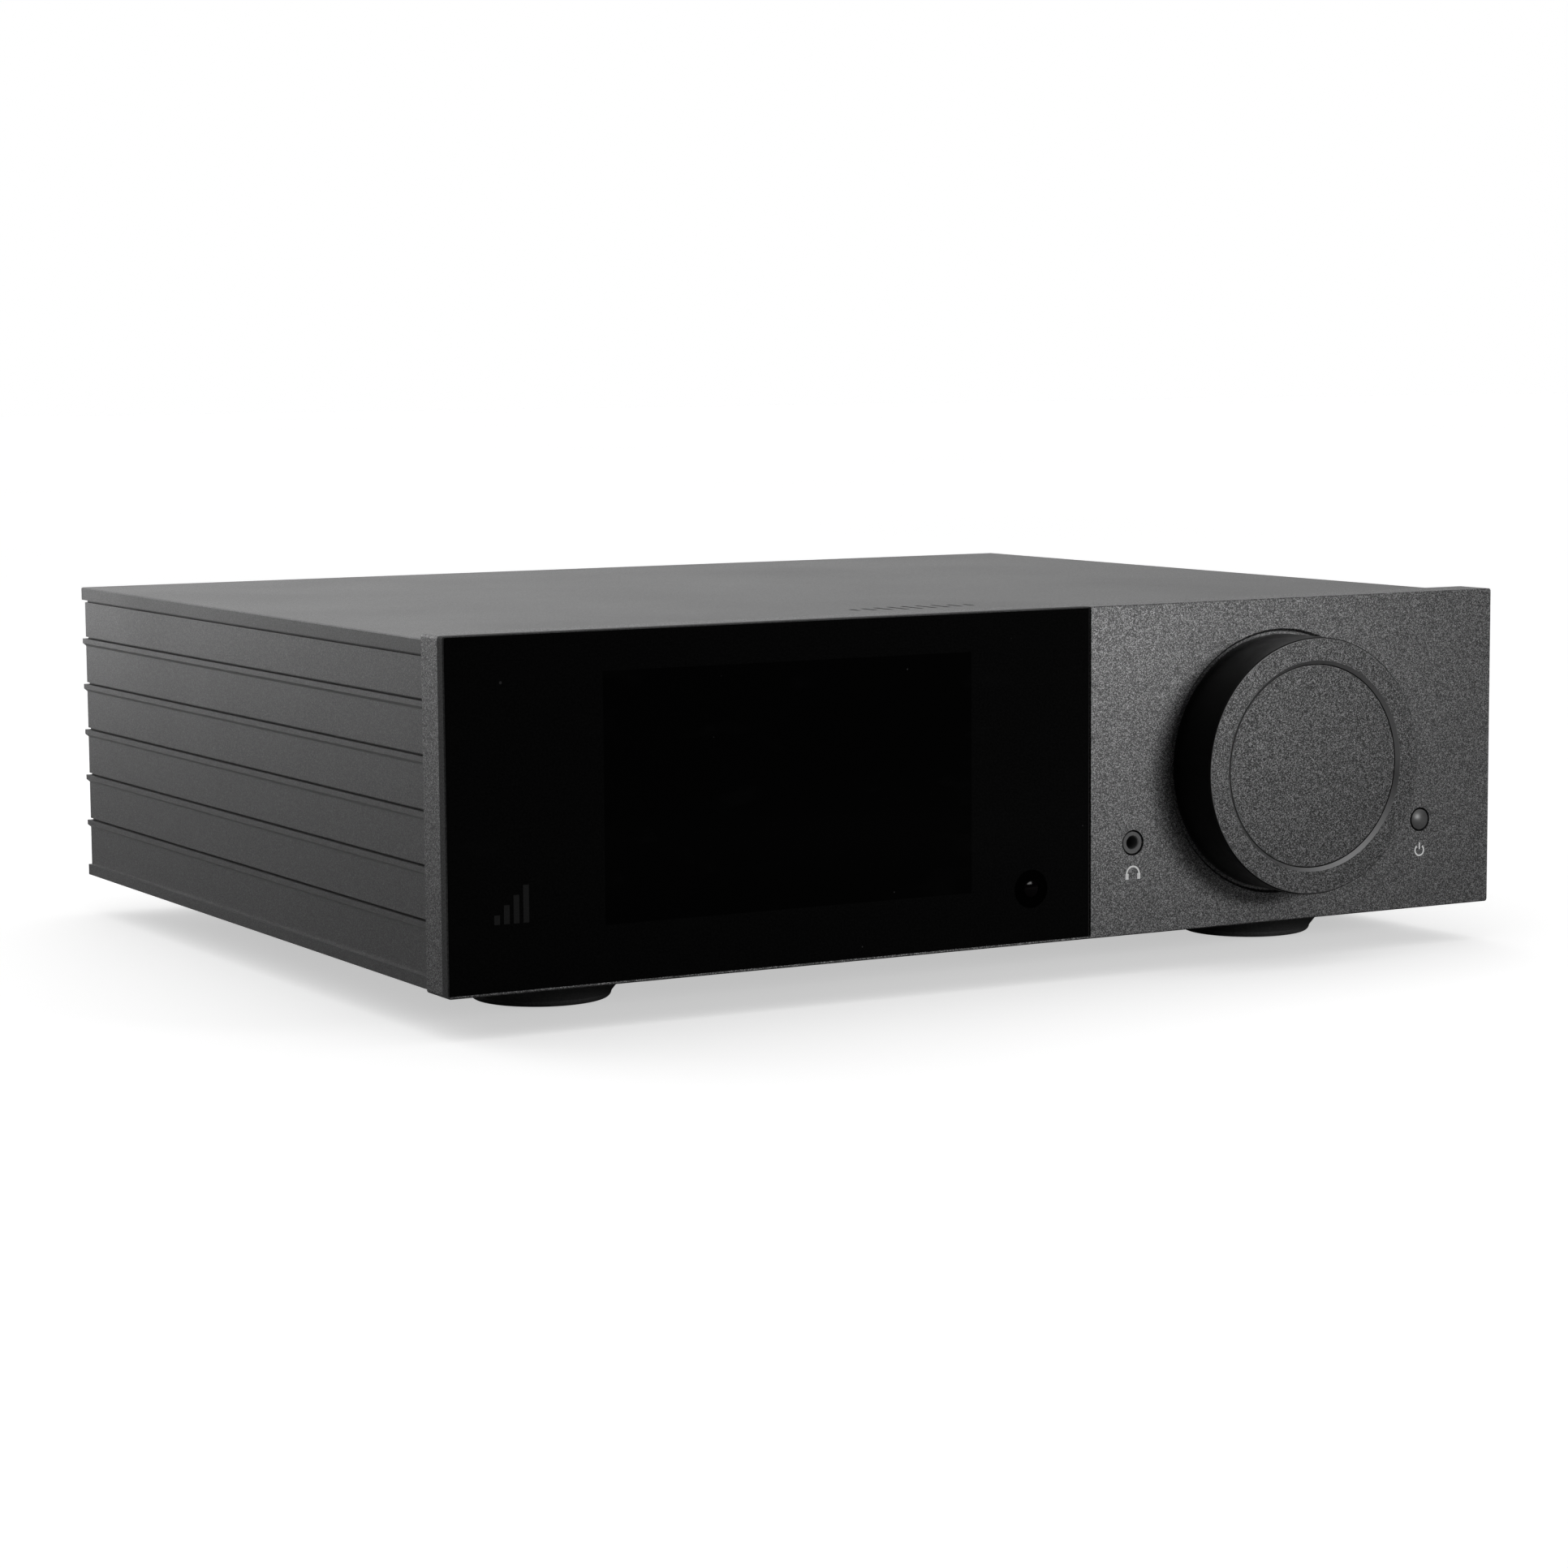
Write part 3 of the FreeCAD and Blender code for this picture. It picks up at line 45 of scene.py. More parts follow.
PANEL_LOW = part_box("front_panel")[0]
GLASS_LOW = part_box("display_glass")[0]
SCREEN_LOW, SCREEN_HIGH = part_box("display_module")
KNOB_LOW, KNOB_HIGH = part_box("knob_ring")
FACE_Y = PANEL_LOW.y                   # front faces of panel and glass
REAR_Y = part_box("rear_panel")[1].y     # rear panel's outer face
BASE_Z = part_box("base_plate")[0].z     # underside of the base plate
SIDE_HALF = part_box("side_panel_right")[1].x
RIB = 1.05 * MM                        # how far the ribs stand out of the side panels' walls
INK = 0.03 * MM                        # thickness of printed marks


def middle(node):
    low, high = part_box(node)
    return (low + high) / 2


def add_object(name, data):
    obj = bpy.data.objects.new(name, data)
    bpy.context.scene.collection.objects.link(obj)
    return obj


# ---------------------------------------------------------------- material helpers
# node, link and math_node also take the surround, which has a node tree like a material.
def material(name, color, roughness, metallic=0.0, specular=0.5):
    mat = bpy.data.materials.new(name)
    mat.use_nodes = True
    shader = mat.node_tree.nodes["Principled BSDF"]
    shader.inputs["Base Color"].default_value = (*color, 1.0)
    shader.inputs["Roughness"].default_value = roughness
    shader.inputs["Metallic"].default_value = metallic
    shader.inputs["Specular IOR Level"].default_value = specular
    return mat


def node(mat, kind, **settings):
    new = mat.node_tree.nodes.new("ShaderNode" + kind)
    for key, value in settings.items():
        setattr(new, key, value)
    return new


def link(mat, output, target):
    mat.node_tree.links.new(output, target)


def place(mat):
    """Position on the piece, in metres: the same at rest and in every pose."""
    return node(mat, "TexCoord").outputs["Object"]


def surface_normal(mat):
    """Direction the piece's own surface faces: the same at rest and in every pose."""
    return node(mat, "TexCoord").outputs["Normal"]


def components(mat, vector):
    """The X, Y and Z outputs of a vector."""
    split = node(mat, "SeparateXYZ")
    link(mat, vector, split.inputs["Vector"])
    return split.outputs


def noise(mat, size, detail=2.0, roughness=0.5, stretch=(1, 1, 1)):
    """Cloudy pattern with spots about size metres across; the value runs from 0 to 1."""
    scaling = node(mat, "Mapping")
    scaling.inputs["Scale"].default_value = stretch
    link(mat, place(mat), scaling.inputs["Vector"])
    texture = node(mat, "TexNoise")
    texture.inputs["Scale"].default_value = 1.0 / size
    texture.inputs["Detail"].default_value = detail
    texture.inputs["Roughness"].default_value = roughness
    link(mat, scaling.outputs["Vector"], texture.inputs["Vector"])
    return texture.outputs["Fac"]


def remap(mat, value, low, high, to_low, to_high):
    step = node(mat, "MapRange")
    step.inputs["From Min"].default_value = low
    step.inputs["From Max"].default_value = high
    step.inputs["To Min"].default_value = to_low
    step.inputs["To Max"].default_value = to_high
    link(mat, value, step.inputs["Value"])
    return step.outputs["Result"]


def math_node(mat, operation, first, second=0.0):
    step = node(mat, "Math", operation=operation)
    for socket, value in zip(step.inputs, (first, second)):
        if isinstance(value, (int, float)):
            socket.default_value = value
        else:
            link(mat, value, socket)
    return step.outputs["Value"]


def blend_colors(mat, factor, first, second):
    """Colour that goes from first to second as factor goes from 0 to 1."""
    mix = node(mat, "Mix", data_type="RGBA")
    link(mat, factor, mix.inputs["Factor"])
    for socket, value in ((mix.inputs[6], first), (mix.inputs[7], second)):
        if isinstance(value, tuple):
            socket.default_value = (*value, 1.0)
        else:
            link(mat, value, socket)
    return mix.outputs[2]


def paint(mat, socket, output):
    link(mat, output, mat.node_tree.nodes["Principled BSDF"].inputs[socket])


def painted(mat, socket):
    """The output that already feeds one of the shader's sockets."""
    return mat.node_tree.nodes["Principled BSDF"].inputs[socket].links[0].from_socket


def variant(mat, name):
    """A copy of a finish, to be changed in places."""
    copy = mat.copy()
    copy.name = name
    return copy


def bump(mat, height, depth, strength=1.0):
    """Bump of a given depth in metres."""
    step = node(mat, "Bump")
    step.inputs["Strength"].default_value = strength
    step.inputs["Distance"].default_value = depth
    link(mat, height, step.inputs["Height"])
    paint(mat, "Normal", step.outputs["Normal"])


def gray(value):
    return (value, value, value * 1.01)


# ---------------------------------------------------------------- finishes
def blasted_aluminium(name, dark, light, grain=0.22 * MM, roughness=0.5):
    """Bead blasted and anodised metal: dark and a few bright grains under a soft sheen."""
    mat = material(name, gray(dark), roughness, metallic=0.85)
    grains = node(mat, "TexVoronoi")
    grains.inputs["Scale"].default_value = 1.0 / grain
    link(mat, place(mat), grains.inputs["Vector"])
    chance = components(mat, grains.outputs["Color"])["X"]
    tone = math_node(mat, "POWER", chance, 2.5)
    paint(mat, "Base Color", blend_colors(mat, tone, gray(dark), gray(light)))
    fine = noise(mat, grain, detail=1.0, roughness=0.8)
    cloud = noise(mat, 60 * MM, detail=2.0)
    rough = math_node(mat, "ADD", remap(mat, fine, 0.3, 0.7, roughness - 0.09, roughness + 0.06),
                      remap(mat, cloud, 0.3, 0.7, -0.02, 0.02))
    paint(mat, "Roughness", rough)
    bump(mat, fine, 0.03 * MM, 0.7)
    return mat


def from_knob_axis(mat):
    """Distance from the axis the knob turns about."""
    axis = middle("knob_ring")
    offset = node(mat, "VectorMath", operation="MULTIPLY_ADD")
    offset.inputs[1].default_value = (1.0, 0.0, 1.0)
    offset.inputs[2].default_value = (-axis.x, 0.0, -axis.z)
    link(mat, place(mat), offset.inputs[0])
    length = node(mat, "VectorMath", operation="LENGTH")
    link(mat, offset.outputs["Vector"], length.inputs[0])
    return length.outputs["Value"]


def flat_face(mat):
    """1 on faces that look straight forward, 0 on the bevels beside them."""
    return remap(mat, components(mat, surface_normal(mat))["Y"], -0.95, -0.8, 1.0, 0.0)


def knob_finish(face):
    """The face finish on what looks forward, a smoother bevel beside it, near black outside."""
    mat = variant(face, "knob_ring_finish")
    grey = painted(mat, "Base Color")
    rough = painted(mat, "Roughness")
    forward = remap(mat, components(mat, surface_normal(mat))["Y"], -0.65, -0.6, 1.0, 0.0)
    rim = (KNOB_HIGH.x - KNOB_LOW.x) / 2
    within = math_node(mat, "LESS_THAN", from_knob_axis(mat), rim - 0.3 * MM)
    flat = flat_face(mat)
    ring_face = blend_colors(mat, flat, gray(0.24), grey)
    front = math_node(mat, "MULTIPLY", forward, within)
    paint(mat, "Base Color", blend_colors(mat, front, gray(0.009), ring_face))
    smooth = remap(mat, noise(mat, 3 * MM), 0.3, 0.7, 0.28, 0.36)
    flat_rough = math_node(mat, "MULTIPLY", flat, rough)
    other_rough = math_node(mat, "MULTIPLY", math_node(mat, "SUBTRACT", 1.0, flat), smooth)
    paint(mat, "Roughness", math_node(mat, "ADD", flat_rough, other_rough))
    return mat


def disc_finish(face):
    """The face finish with a darker chamfer round the rim."""
    mat = variant(face, "knob_disc_finish")
    grey = painted(mat, "Base Color")
    paint(mat, "Base Color", blend_colors(mat, flat_face(mat), gray(0.15), grey))
    return mat


def side_metal_with_painted_light_and_shade(case):
    """Case metal with painted light on the slopes under the ribs and painted shade in the grooves above
    them.
    """
    mat = variant(case, "side_panel_painted_light_and_shade")
    metal = painted(mat, "Base Color")
    normal = components(mat, surface_normal(mat))
    slope = math_node(mat, "MULTIPLY", remap(mat, normal["Z"], -0.9, -0.85, 0.0, 1.0),
                      remap(mat, normal["Z"], -0.65, -0.6, 1.0, 0.0))
    outward = math_node(mat, "ABSOLUTE", components(mat, place(mat))["X"])
    sunk = math_node(mat, "LESS_THAN", outward, SIDE_HALF - RIB - 0.05 * MM)
    lengthwise = math_node(mat, "LESS_THAN", math_node(mat, "ABSOLUTE", normal["Y"]), 0.5)
    groove_painted_shade = math_node(mat, "MULTIPLY", sunk, lengthwise)
    # painted light: the down-facing slopes under the ribs are made lighter, as if better lit
    lighter = blend_colors(mat, slope, metal, gray(0.42))
    # painted shade: what lies sunk inside the wall's outer face (grooves above the ribs, gap under the
    # lid) is made near black
    paint(mat, "Base Color", blend_colors(mat, groove_painted_shade, lighter, gray(0.015)))
    return mat


def lid_with_painted_shade(case):
    """Case metal with painted shade: darker on the side faces than on the top."""
    mat = variant(case, "lid_with_painted_shade")
    metal = painted(mat, "Base Color")
    # painted shade: faces turned away from straight up are blended towards dark grey
    edge = remap(mat, components(mat, surface_normal(mat))["Z"], 0.3, 0.8, 0.4, 0.0)
    paint(mat, "Base Color", blend_colors(mat, edge, metal, gray(0.04)))
    return mat


def inside_screen(mat):
    """1 where the glass covers the screen's visible area, 0 elsewhere."""
    position = components(mat, place(mat))
    edge = 5.5 * MM                    # the screen's frame hides this much of it on each side
    inside = None
    for axis, low, high in (("X", SCREEN_LOW.x + edge, SCREEN_HIGH.x - edge),
                            ("Z", SCREEN_LOW.z + edge, SCREEN_HIGH.z - edge)):
        above = math_node(mat, "GREATER_THAN", position[axis], low)
        below = math_node(mat, "LESS_THAN", position[axis], high)
        both = math_node(mat, "MULTIPLY", above, below)
        inside = both if inside is None else math_node(mat, "MULTIPLY", inside, both)
    return inside


def specks(mat, spacing, radius):
    """Scattered round specks: 1 on a speck, 0 elsewhere."""
    cells = node(mat, "TexVoronoi", feature="F1")
    cells.inputs["Scale"].default_value = 1.0 / spacing
    link(mat, place(mat), cells.inputs["Vector"])
    return remap(mat, cells.outputs["Distance"], radius / spacing, 1.6 * radius / spacing, 1.0, 0.0)


def ground_edge(mat):
    """1 on the glass plate's ground edges, 0 on its polished face."""
    forward = math_node(mat, "ABSOLUTE", components(mat, surface_normal(mat))["Y"])
    return remap(mat, forward, 0.6, 0.9, 1.0, 0.0)


def black_glass():
    """Back-printed black glass with a little dust; the screen is a deeper black behind it."""
    mat = material("black_glass_finish", gray(0.002), 0.03, specular=0.009)
    print_grain = remap(mat, noise(mat, 0.5 * MM, detail=1.0), 0.35, 0.65, 0.0, 1.0)
    printed = blend_colors(mat, print_grain, gray(0.0025), gray(0.0045))
    color = blend_colors(mat, inside_screen(mat), printed, gray(0.0014))
    smear = remap(mat, noise(mat, 22 * MM, detail=3.0, stretch=(1, 1, 2.5)), 0.6, 0.78, 0.0, 0.3)
    color = blend_colors(mat, smear, color, gray(0.006))
    dust = math_node(mat, "MAXIMUM", specks(mat, 9 * MM, 0.16 * MM), specks(mat, 23 * MM, 0.3 * MM))
    wiped = remap(mat, noise(mat, 25 * MM), 0.3, 0.7, 0.02, 0.07)
    rough = math_node(mat, "ADD", wiped, math_node(mat, "MULTIPLY", smear, 0.08))
    ground = ground_edge(mat)
    paint(mat, "Roughness", math_node(mat, "ADD", rough, math_node(mat, "MULTIPLY", ground, 0.45)))
    face = blend_colors(mat, dust, color, gray(0.035))
    frosting = blend_colors(mat, print_grain, gray(0.06), gray(0.1))
    paint(mat, "Base Color", blend_colors(mat, ground, face, frosting))
    return mat


def sheet_paint():
    """Black powder coat with its orange peel."""
    mat = material("powder_coat", gray(0.016), 0.45)
    peel = noise(mat, 0.9 * MM, detail=2.0)
    tone = remap(mat, noise(mat, 30 * MM), 0.3, 0.7, 0.0, 1.0)
    paint(mat, "Base Color", blend_colors(mat, tone, gray(0.014), gray(0.02)))
    paint(mat, "Roughness", remap(mat, peel, 0.3, 0.7, 0.38, 0.52))
    bump(mat, peel, 0.05 * MM, 0.5)
    return mat


def moulded_plastic(name, color, roughness, grain=0.35 * MM, depth=0.02 * MM, specular=0.5):
    """Moulded plastic with a fine spark-eroded grain."""
    mat = material(name, color, roughness, specular=specular)
    texture = noise(mat, grain, detail=2.0)
    lighter = tuple(c * 1.5 for c in color)
    paint(mat, "Base Color", blend_colors(mat, remap(mat, texture, 0.3, 0.7, 0.0, 1.0), color, lighter))
    wear = noise(mat, 8 * MM)
    paint(mat, "Roughness", remap(mat, wear, 0.3, 0.7, roughness - 0.06, roughness + 0.06))
    bump(mat, texture, depth, 0.5)
    return mat


def rubber():
    mat = material("rubber_finish", gray(0.012), 0.8, specular=0.3)
    dust = noise(mat, 4 * MM, detail=4.0, roughness=0.7)
    paint(mat, "Base Color", blend_colors(mat, remap(mat, dust, 0.45, 0.75, 0.0, 1.0),
                                          gray(0.011), gray(0.03)))
    bump(mat, noise(mat, 0.4 * MM), 0.03 * MM, 0.6)
    return mat


def plated(name, color, roughness, stretch=(1, 1, 1)):
    """Plated metal with faint turning or drawing marks."""
    mat = material(name, color, roughness, metallic=1.0)
    marks = noise(mat, 0.6 * MM, detail=3.0, stretch=stretch)
    stain = noise(mat, 5 * MM, detail=2.0)
    darker = tuple(c * 0.75 for c in color)
    paint(mat, "Base Color", blend_colors(mat, remap(mat, stain, 0.35, 0.7, 0.0, 1.0), color, darker))
    paint(mat, "Roughness", remap(mat, marks, 0.3, 0.7, roughness * 0.7, roughness * 1.4))
    bump(mat, marks, 0.01 * MM, 0.4)
    return mat


def rca_plastic():
    """Phono socket insulators: white in the upper row, red in the lower one."""
    mat = moulded_plastic("rca_plastic_finish", (0.5, 0.5, 0.48), 0.3, depth=0.004 * MM)
    height = components(mat, place(mat))["Z"]
    upper = math_node(mat, "GREATER_THAN", height, middle("rca_shells").z)
    speckle = remap(mat, noise(mat, 0.35 * MM), 0.3, 0.7, 0.0, 1.0)
    red = blend_colors(mat, speckle, (0.42, 0.012, 0.012), (0.5, 0.02, 0.02))
    white = blend_colors(mat, speckle, (0.5, 0.5, 0.48), (0.6, 0.6, 0.58))
    paint(mat, "Base Color", blend_colors(mat, upper, red, white))
    return mat


def circuit_board():
    """Solder mask over copper areas and tracks."""
    mat = material("circuit_board_finish", (0.01, 0.05, 0.02), 0.35)
    tracks = node(mat, "TexVoronoi", feature="DISTANCE_TO_EDGE")
    tracks.inputs["Scale"].default_value = 1.0 / (4 * MM)
    link(mat, place(mat), tracks.inputs["Vector"])
    line = remap(mat, tracks.outputs["Distance"], 0.03, 0.06, 1.0, 0.0)
    paint(mat, "Base Color", blend_colors(mat, line, (0.008, 0.04, 0.018), (0.02, 0.12, 0.05)))
    bump(mat, line, 0.03 * MM, 0.5)
    return mat


def ink(name, color, specular=0.4):
    """Printed marks: slightly uneven paint."""
    mat = material(name, color, 0.55, specular=specular)
    patches = noise(mat, 0.3 * MM, detail=2.0)
    thin = tuple(c * 0.8 for c in color)
    paint(mat, "Base Color", blend_colors(mat, remap(mat, patches, 0.35, 0.65, 0.0, 1.0), thin, color))
    return mat


FRONT_METAL = blasted_aluminium("front_aluminium", 0.06, 0.36)
KNOB_FACE = blasted_aluminium("knob_aluminium", 0.03, 0.28)
CASE_METAL = blasted_aluminium("case_aluminium", 0.08, 0.185, roughness=0.47)
SIDE_METAL = side_metal_with_painted_light_and_shade(CASE_METAL)
LID_METAL = lid_with_painted_shade(CASE_METAL)
KNOB_METAL = knob_finish(KNOB_FACE)
DISC_METAL = disc_finish(KNOB_FACE)
BLACK_GLASS = black_glass()
SHEET = sheet_paint()
BLACK_PLASTIC = moulded_plastic("black_plastic_finish", gray(0.014), 0.5)
GLOSS_BLACK = moulded_plastic("gloss_black_finish", gray(0.012), 0.16, depth=0.003 * MM)
FOOT_PLASTIC = moulded_plastic("foot_finish", gray(0.08), 0.55, grain=0.6 * MM)
RUBBER = rubber()
BLACK_STEEL = plated("black_steel_finish", (0.03, 0.03, 0.031), 0.4)
BRIGHT_STEEL = plated("bright_steel_finish", (0.55, 0.55, 0.56), 0.3)
NICKEL = plated("nickel_finish", (0.62, 0.6, 0.57), 0.22)
GOLD = plated("gold_finish", (0.83, 0.58, 0.24), 0.22)
RED_CAP = moulded_plastic("red_cap_finish", (0.3, 0.012, 0.012), 0.2, depth=0.004 * MM)
DARK_FILTER = moulded_plastic("dark_filter_finish", (0.0012, 0.0008, 0.001), 0.08, depth=0.001 * MM,
                              specular=0.06)
BUTTON_BLACK = moulded_plastic("button_finish", gray(0.05), 0.38, depth=0.003 * MM, specular=1.0)
SOCKET_GREY = moulded_plastic("socket_finish", gray(0.085), 0.4, depth=0.004 * MM)
FERRITE = moulded_plastic("ferrite_finish", gray(0.035), 0.7, grain=1.0 * MM, depth=0.05 * MM)
SLEEVE = moulded_plastic("sleeve_finish", (0.012, 0.014, 0.035), 0.3, grain=2 * MM)
BOARD = circuit_board()
RCA_PLASTIC = rca_plastic()
PLAIN_ALUMINIUM = plated("plain_aluminium_finish", (0.6, 0.6, 0.61), 0.4, stretch=(1, 0.05, 1))
WHITE_INK = ink("white_ink", (0.92, 0.92, 0.92))
GREY_INK = ink("grey_ink", (0.2, 0.2, 0.2))
FAINT_INK = ink("faint_ink", gray(0.02), specular=0.02)
BLACK_INK = ink("black_ink", (0.01, 0.01, 0.01))
LABEL = ink("label_finish", (0.5, 0.5, 0.49))
WINDOW_BLACK = moulded_plastic("window_black_finish", gray(0.0002), 0.3, depth=0.001 * MM,
                               specular=0.005)
AMBER = moulded_plastic("amber_window_finish", (0.4, 0.2, 0.03), 0.25, depth=0.002 * MM)

SLOT_FINISH = {
    "anodised_aluminium": CASE_METAL,
    "bare_aluminium": PLAIN_ALUMINIUM,
    "black_sheet": SHEET,
    "black_glass": BLACK_GLASS,
    "display": GLOSS_BLACK,
    "dark_plastic": DARK_FILTER,
    "circuit_board": BOARD,
    "black_plastic": BLACK_PLASTIC,
    "gloss_plastic": GLOSS_BLACK,
    "foot_plastic": FOOT_PLASTIC,
    "rubber": RUBBER,
    "black_steel": BLACK_STEEL,
    "bright_steel": BRIGHT_STEEL,
    "nickel_brass": NICKEL,
    "gold_brass": GOLD,
    "cap_red": RED_CAP,
    "cap_black": GLOSS_BLACK,
    "ferrite": FERRITE,
    "capacitor_sleeve": SLEEVE,
    "fuse_glass": NICKEL,              # the fuse's tube and caps are one solid
    "wire_sleeve": BLACK_PLASTIC,
}
NODE_FINISH = {
    "front_panel": FRONT_METAL,
    "knob_disc": DISC_METAL,
    "standby_button": BUTTON_BLACK,
    "headphone_jack": SOCKET_GREY,
    "rca_cores": RCA_PLASTIC,
    "knob_ring": KNOB_METAL,
    "lid": LID_METAL,
    "side_panel_left": SIDE_METAL,
    "side_panel_right": SIDE_METAL,
}


def finish_frame():
    """Every node of the frame gets its finish."""
    slots = {part["node"]: part["material_slot"] for part in frame["record"]["subparts"]}
    for name, obj in NODES.items():
        finish = NODE_FINISH.get(name) or SLOT_FINISH[slots[name]]
        obj.data.materials.clear()
        obj.data.materials.append(finish)


# ---------------------------------------------------------------- pieces
def piece(name, mesh, finish, body):
    """A visible piece that moves with a body of the frame."""
    obj = add_object(name, mesh)
    mesh.materials.append(finish)
    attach(obj, body)
    return obj


def mesh_from(name, build):
    """A mesh made by build(bm), with its faces turned outwards."""
    bm = bmesh.new()
    build(bm)
    bmesh.ops.recalc_face_normals(bm, faces=bm.faces)
    mesh = bpy.data.meshes.new(name)
    bm.to_mesh(mesh)
    bm.free()
    return mesh


def add_prism(bm, outline, to_point, depth):
    """Outline of flat (u, v) points made into a solid; to_point(u, v, w) places each point."""
    near = [bm.verts.new(to_point(u, v, 0.0)) for u, v in outline]
    far = [bm.verts.new(to_point(u, v, depth)) for u, v in outline]
    bm.faces.new(near)
    bm.faces.new(list(reversed(far)))
    count = len(outline)
    for i in range(count):
        j = (i + 1) % count
        bm.faces.new((near[i], near[j], far[j], far[i]))


def add_band(bm, outer, inner, to_point, depth, closed=True):
    """Solid strip between two outlines with the same number of points."""
    rings = [[bm.verts.new(to_point(u, v, w)) for u, v in line]
             for line, w in ((outer, 0.0), (outer, depth), (inner, depth), (inner, 0.0))]
    count = len(outer)
    steps = count if closed else count - 1
    for k in range(4):
        a, b = rings[k], rings[(k + 1) % 4]
        for i in range(steps):
            j = (i + 1) % count
            bm.faces.new((a[i], a[j], b[j], b[i]))
    if not closed:
        for i in (0, count - 1):
            bm.faces.new([ring[i] for ring in rings])


def arc(radius, start, end, count, cu=0.0, cv=0.0):
    """Points on an arc in the flat (u, v) plane; angles in degrees from +u towards +v."""
    angles = [math.radians(start + (end - start) * i / (count - 1)) for i in range(count)]
    return [(cu + radius * math.cos(a), cv + radius * math.sin(a)) for a in angles]


def rectangle(u0, u1, v0, v1):
    return [(u0, v0), (u1, v0), (u1, v1), (u0, v1)]


def circle(radius, count=40, cu=0.0, cv=0.0):
    angles = [2 * math.pi * i / count for i in range(count)]
    return [(cu + radius * math.cos(a), cv + radius * math.sin(a)) for a in angles]


def on_front(x, z):
    """Places flat points on the front face, standing forwards by w."""
    return lambda u, v, w: (x + u, FACE_Y - w, z + v)


def on_rear(x, z, lift=0.0):
    """Places flat points on the rear panel, u to the right as seen from behind."""
    return lambda u, v, w: (x - u, REAR_Y + lift + w, z + v)


def under_base(x, y, lift=0.0):
    """Places flat points on the underside of the base plate, standing down by w."""
    return lambda u, v, w: (x + u, y + v, BASE_Z - lift - w)


def add_dome(bm, radius, height, to_point, rings=6, count=32):
    """Shallow dome standing on a flat face."""
    sphere = (radius ** 2 + height ** 2) / (2 * height)
    rows = []
    for k in range(rings):
        r = radius * (1 - k / rings)
        w = math.sqrt(sphere ** 2 - r ** 2) - (sphere - height)
        rows.append([bm.verts.new(to_point(u, v, w)) for u, v in circle(r, count)])
    top = bm.verts.new(to_point(0.0, 0.0, height))
    for lower, upper in zip(rows, rows[1:]):
        for i in range(count):
            j = (i + 1) % count
            bm.faces.new((lower[i], lower[j], upper[j], upper[i]))
    for i in range(count):
        bm.faces.new((rows[-1][i], rows[-1][(i + 1) % count], top))
    bm.faces.new(list(reversed(rows[0])))


def headphone_mark():
    """Pictogram of a pair of headphones, below the headphone socket."""
    jack = middle("headphone_jack")
    spot = on_front(jack.x, jack.z - 8.6 * MM)
    stroke, band = 0.5 * MM, 2.3 * MM

    def build(bm):
        add_band(bm, arc(band, 0, 180, 25), arc(band - stroke, 0, 180, 25), spot, INK, closed=False)
        for side in (-1, 1):
            inner = side * (band - 0.85 * MM)
            outer = side * (band + 0.15 * MM)
            add_prism(bm, rectangle(min(inner, outer), max(inner, outer), -1.5 * MM, 0.1 * MM),
                      spot, INK * 1.5)
    piece("headphone_mark", mesh_from("headphone_mark", build), WHITE_INK, "case")


def standby_mark():
    """Usual standby symbol: a broken ring with a bar, below the standby button."""
    button = middle("standby_button")
    spot = on_front(button.x, button.z - 8.9 * MM)
    radius, stroke = 1.75 * MM, 0.45 * MM

    def build(bm):
        add_band(bm, arc(radius, 130, 410, 40), arc(radius - stroke, 130, 410, 40), spot, INK,
                 closed=False)
        add_prism(bm, rectangle(-stroke / 2, stroke / 2, 0.3 * MM, 2.2 * MM), spot, INK)
    piece("standby_mark", mesh_from("standby_mark", build), WHITE_INK, "case")


def level_mark():
    """Faint glyph on the glass, lower left: four rising bars, like a level meter."""
    spot = on_front(GLASS_LOW.x + 12.9 * MM, middle("ir_receiver").z + 2.7 * MM)
    width, gap, step = 1.6 * MM, 1.1 * MM, 2.4 * MM

    def build(bm):
        for i in range(4):
            left = i * (width + gap)
            add_prism(bm, rectangle(left, left + width, 0.0, step * (i + 1)), spot, INK / 3)
    piece("level_mark", mesh_from("level_mark", build), FAINT_INK, "case")


def ir_window():
    """Round dark window on the glass, in front of the receiver, with a lens in it."""
    receiver = middle("ir_receiver")
    spot = on_front(receiver.x, receiver.z)

    def window(bm):
        add_prism(bm, circle(5.25 * MM), spot, INK / 3)

    def lens(bm):
        add_dome(bm, 2.4 * MM, 0.35 * MM, spot)
    piece("ir_window", mesh_from("ir_window", window), WINDOW_BLACK, "case")
    dome = piece("ir_lens", mesh_from("ir_lens", lens), DARK_FILTER, "case")
    for face in dome.data.polygons:
        face.use_smooth = True


def polarity_marks():
    """A plus above each red post and a minus above each black one, printed on the rear panel."""
    half, stroke = 1.7 * MM, 0.5 * MM

    def build(bm):
        for number in (1, 2, 3, 4):
            cap = middle("post_cap_%d" % number)
            spot = on_rear(cap.x, cap.z + 16.0 * MM)
            add_prism(bm, rectangle(-half, half, -stroke / 2, stroke / 2), spot, INK)
            if number % 2:
                add_prism(bm, rectangle(-stroke / 2, stroke / 2, -half, half), spot, INK * 1.5)
    piece("polarity_marks", mesh_from("polarity_marks", build), WHITE_INK, "case")


def outline_frame(bm, x, z, half_width, half_height, corner, stroke):
    """A printed rounded frame on the rear panel."""
    def line(inset):
        radius = corner - inset
        points = []
        for start, su, sv in ((0, 1, 1), (90, -1, 1), (180, -1, -1), (270, 1, -1)):
            corner_u, corner_v = su * (half_width - corner), sv * (half_height - corner)
            points += arc(radius, start, start + 90, 7, corner_u, corner_v)
        return points
    add_band(bm, line(0.0), line(stroke), on_rear(x, z), INK)


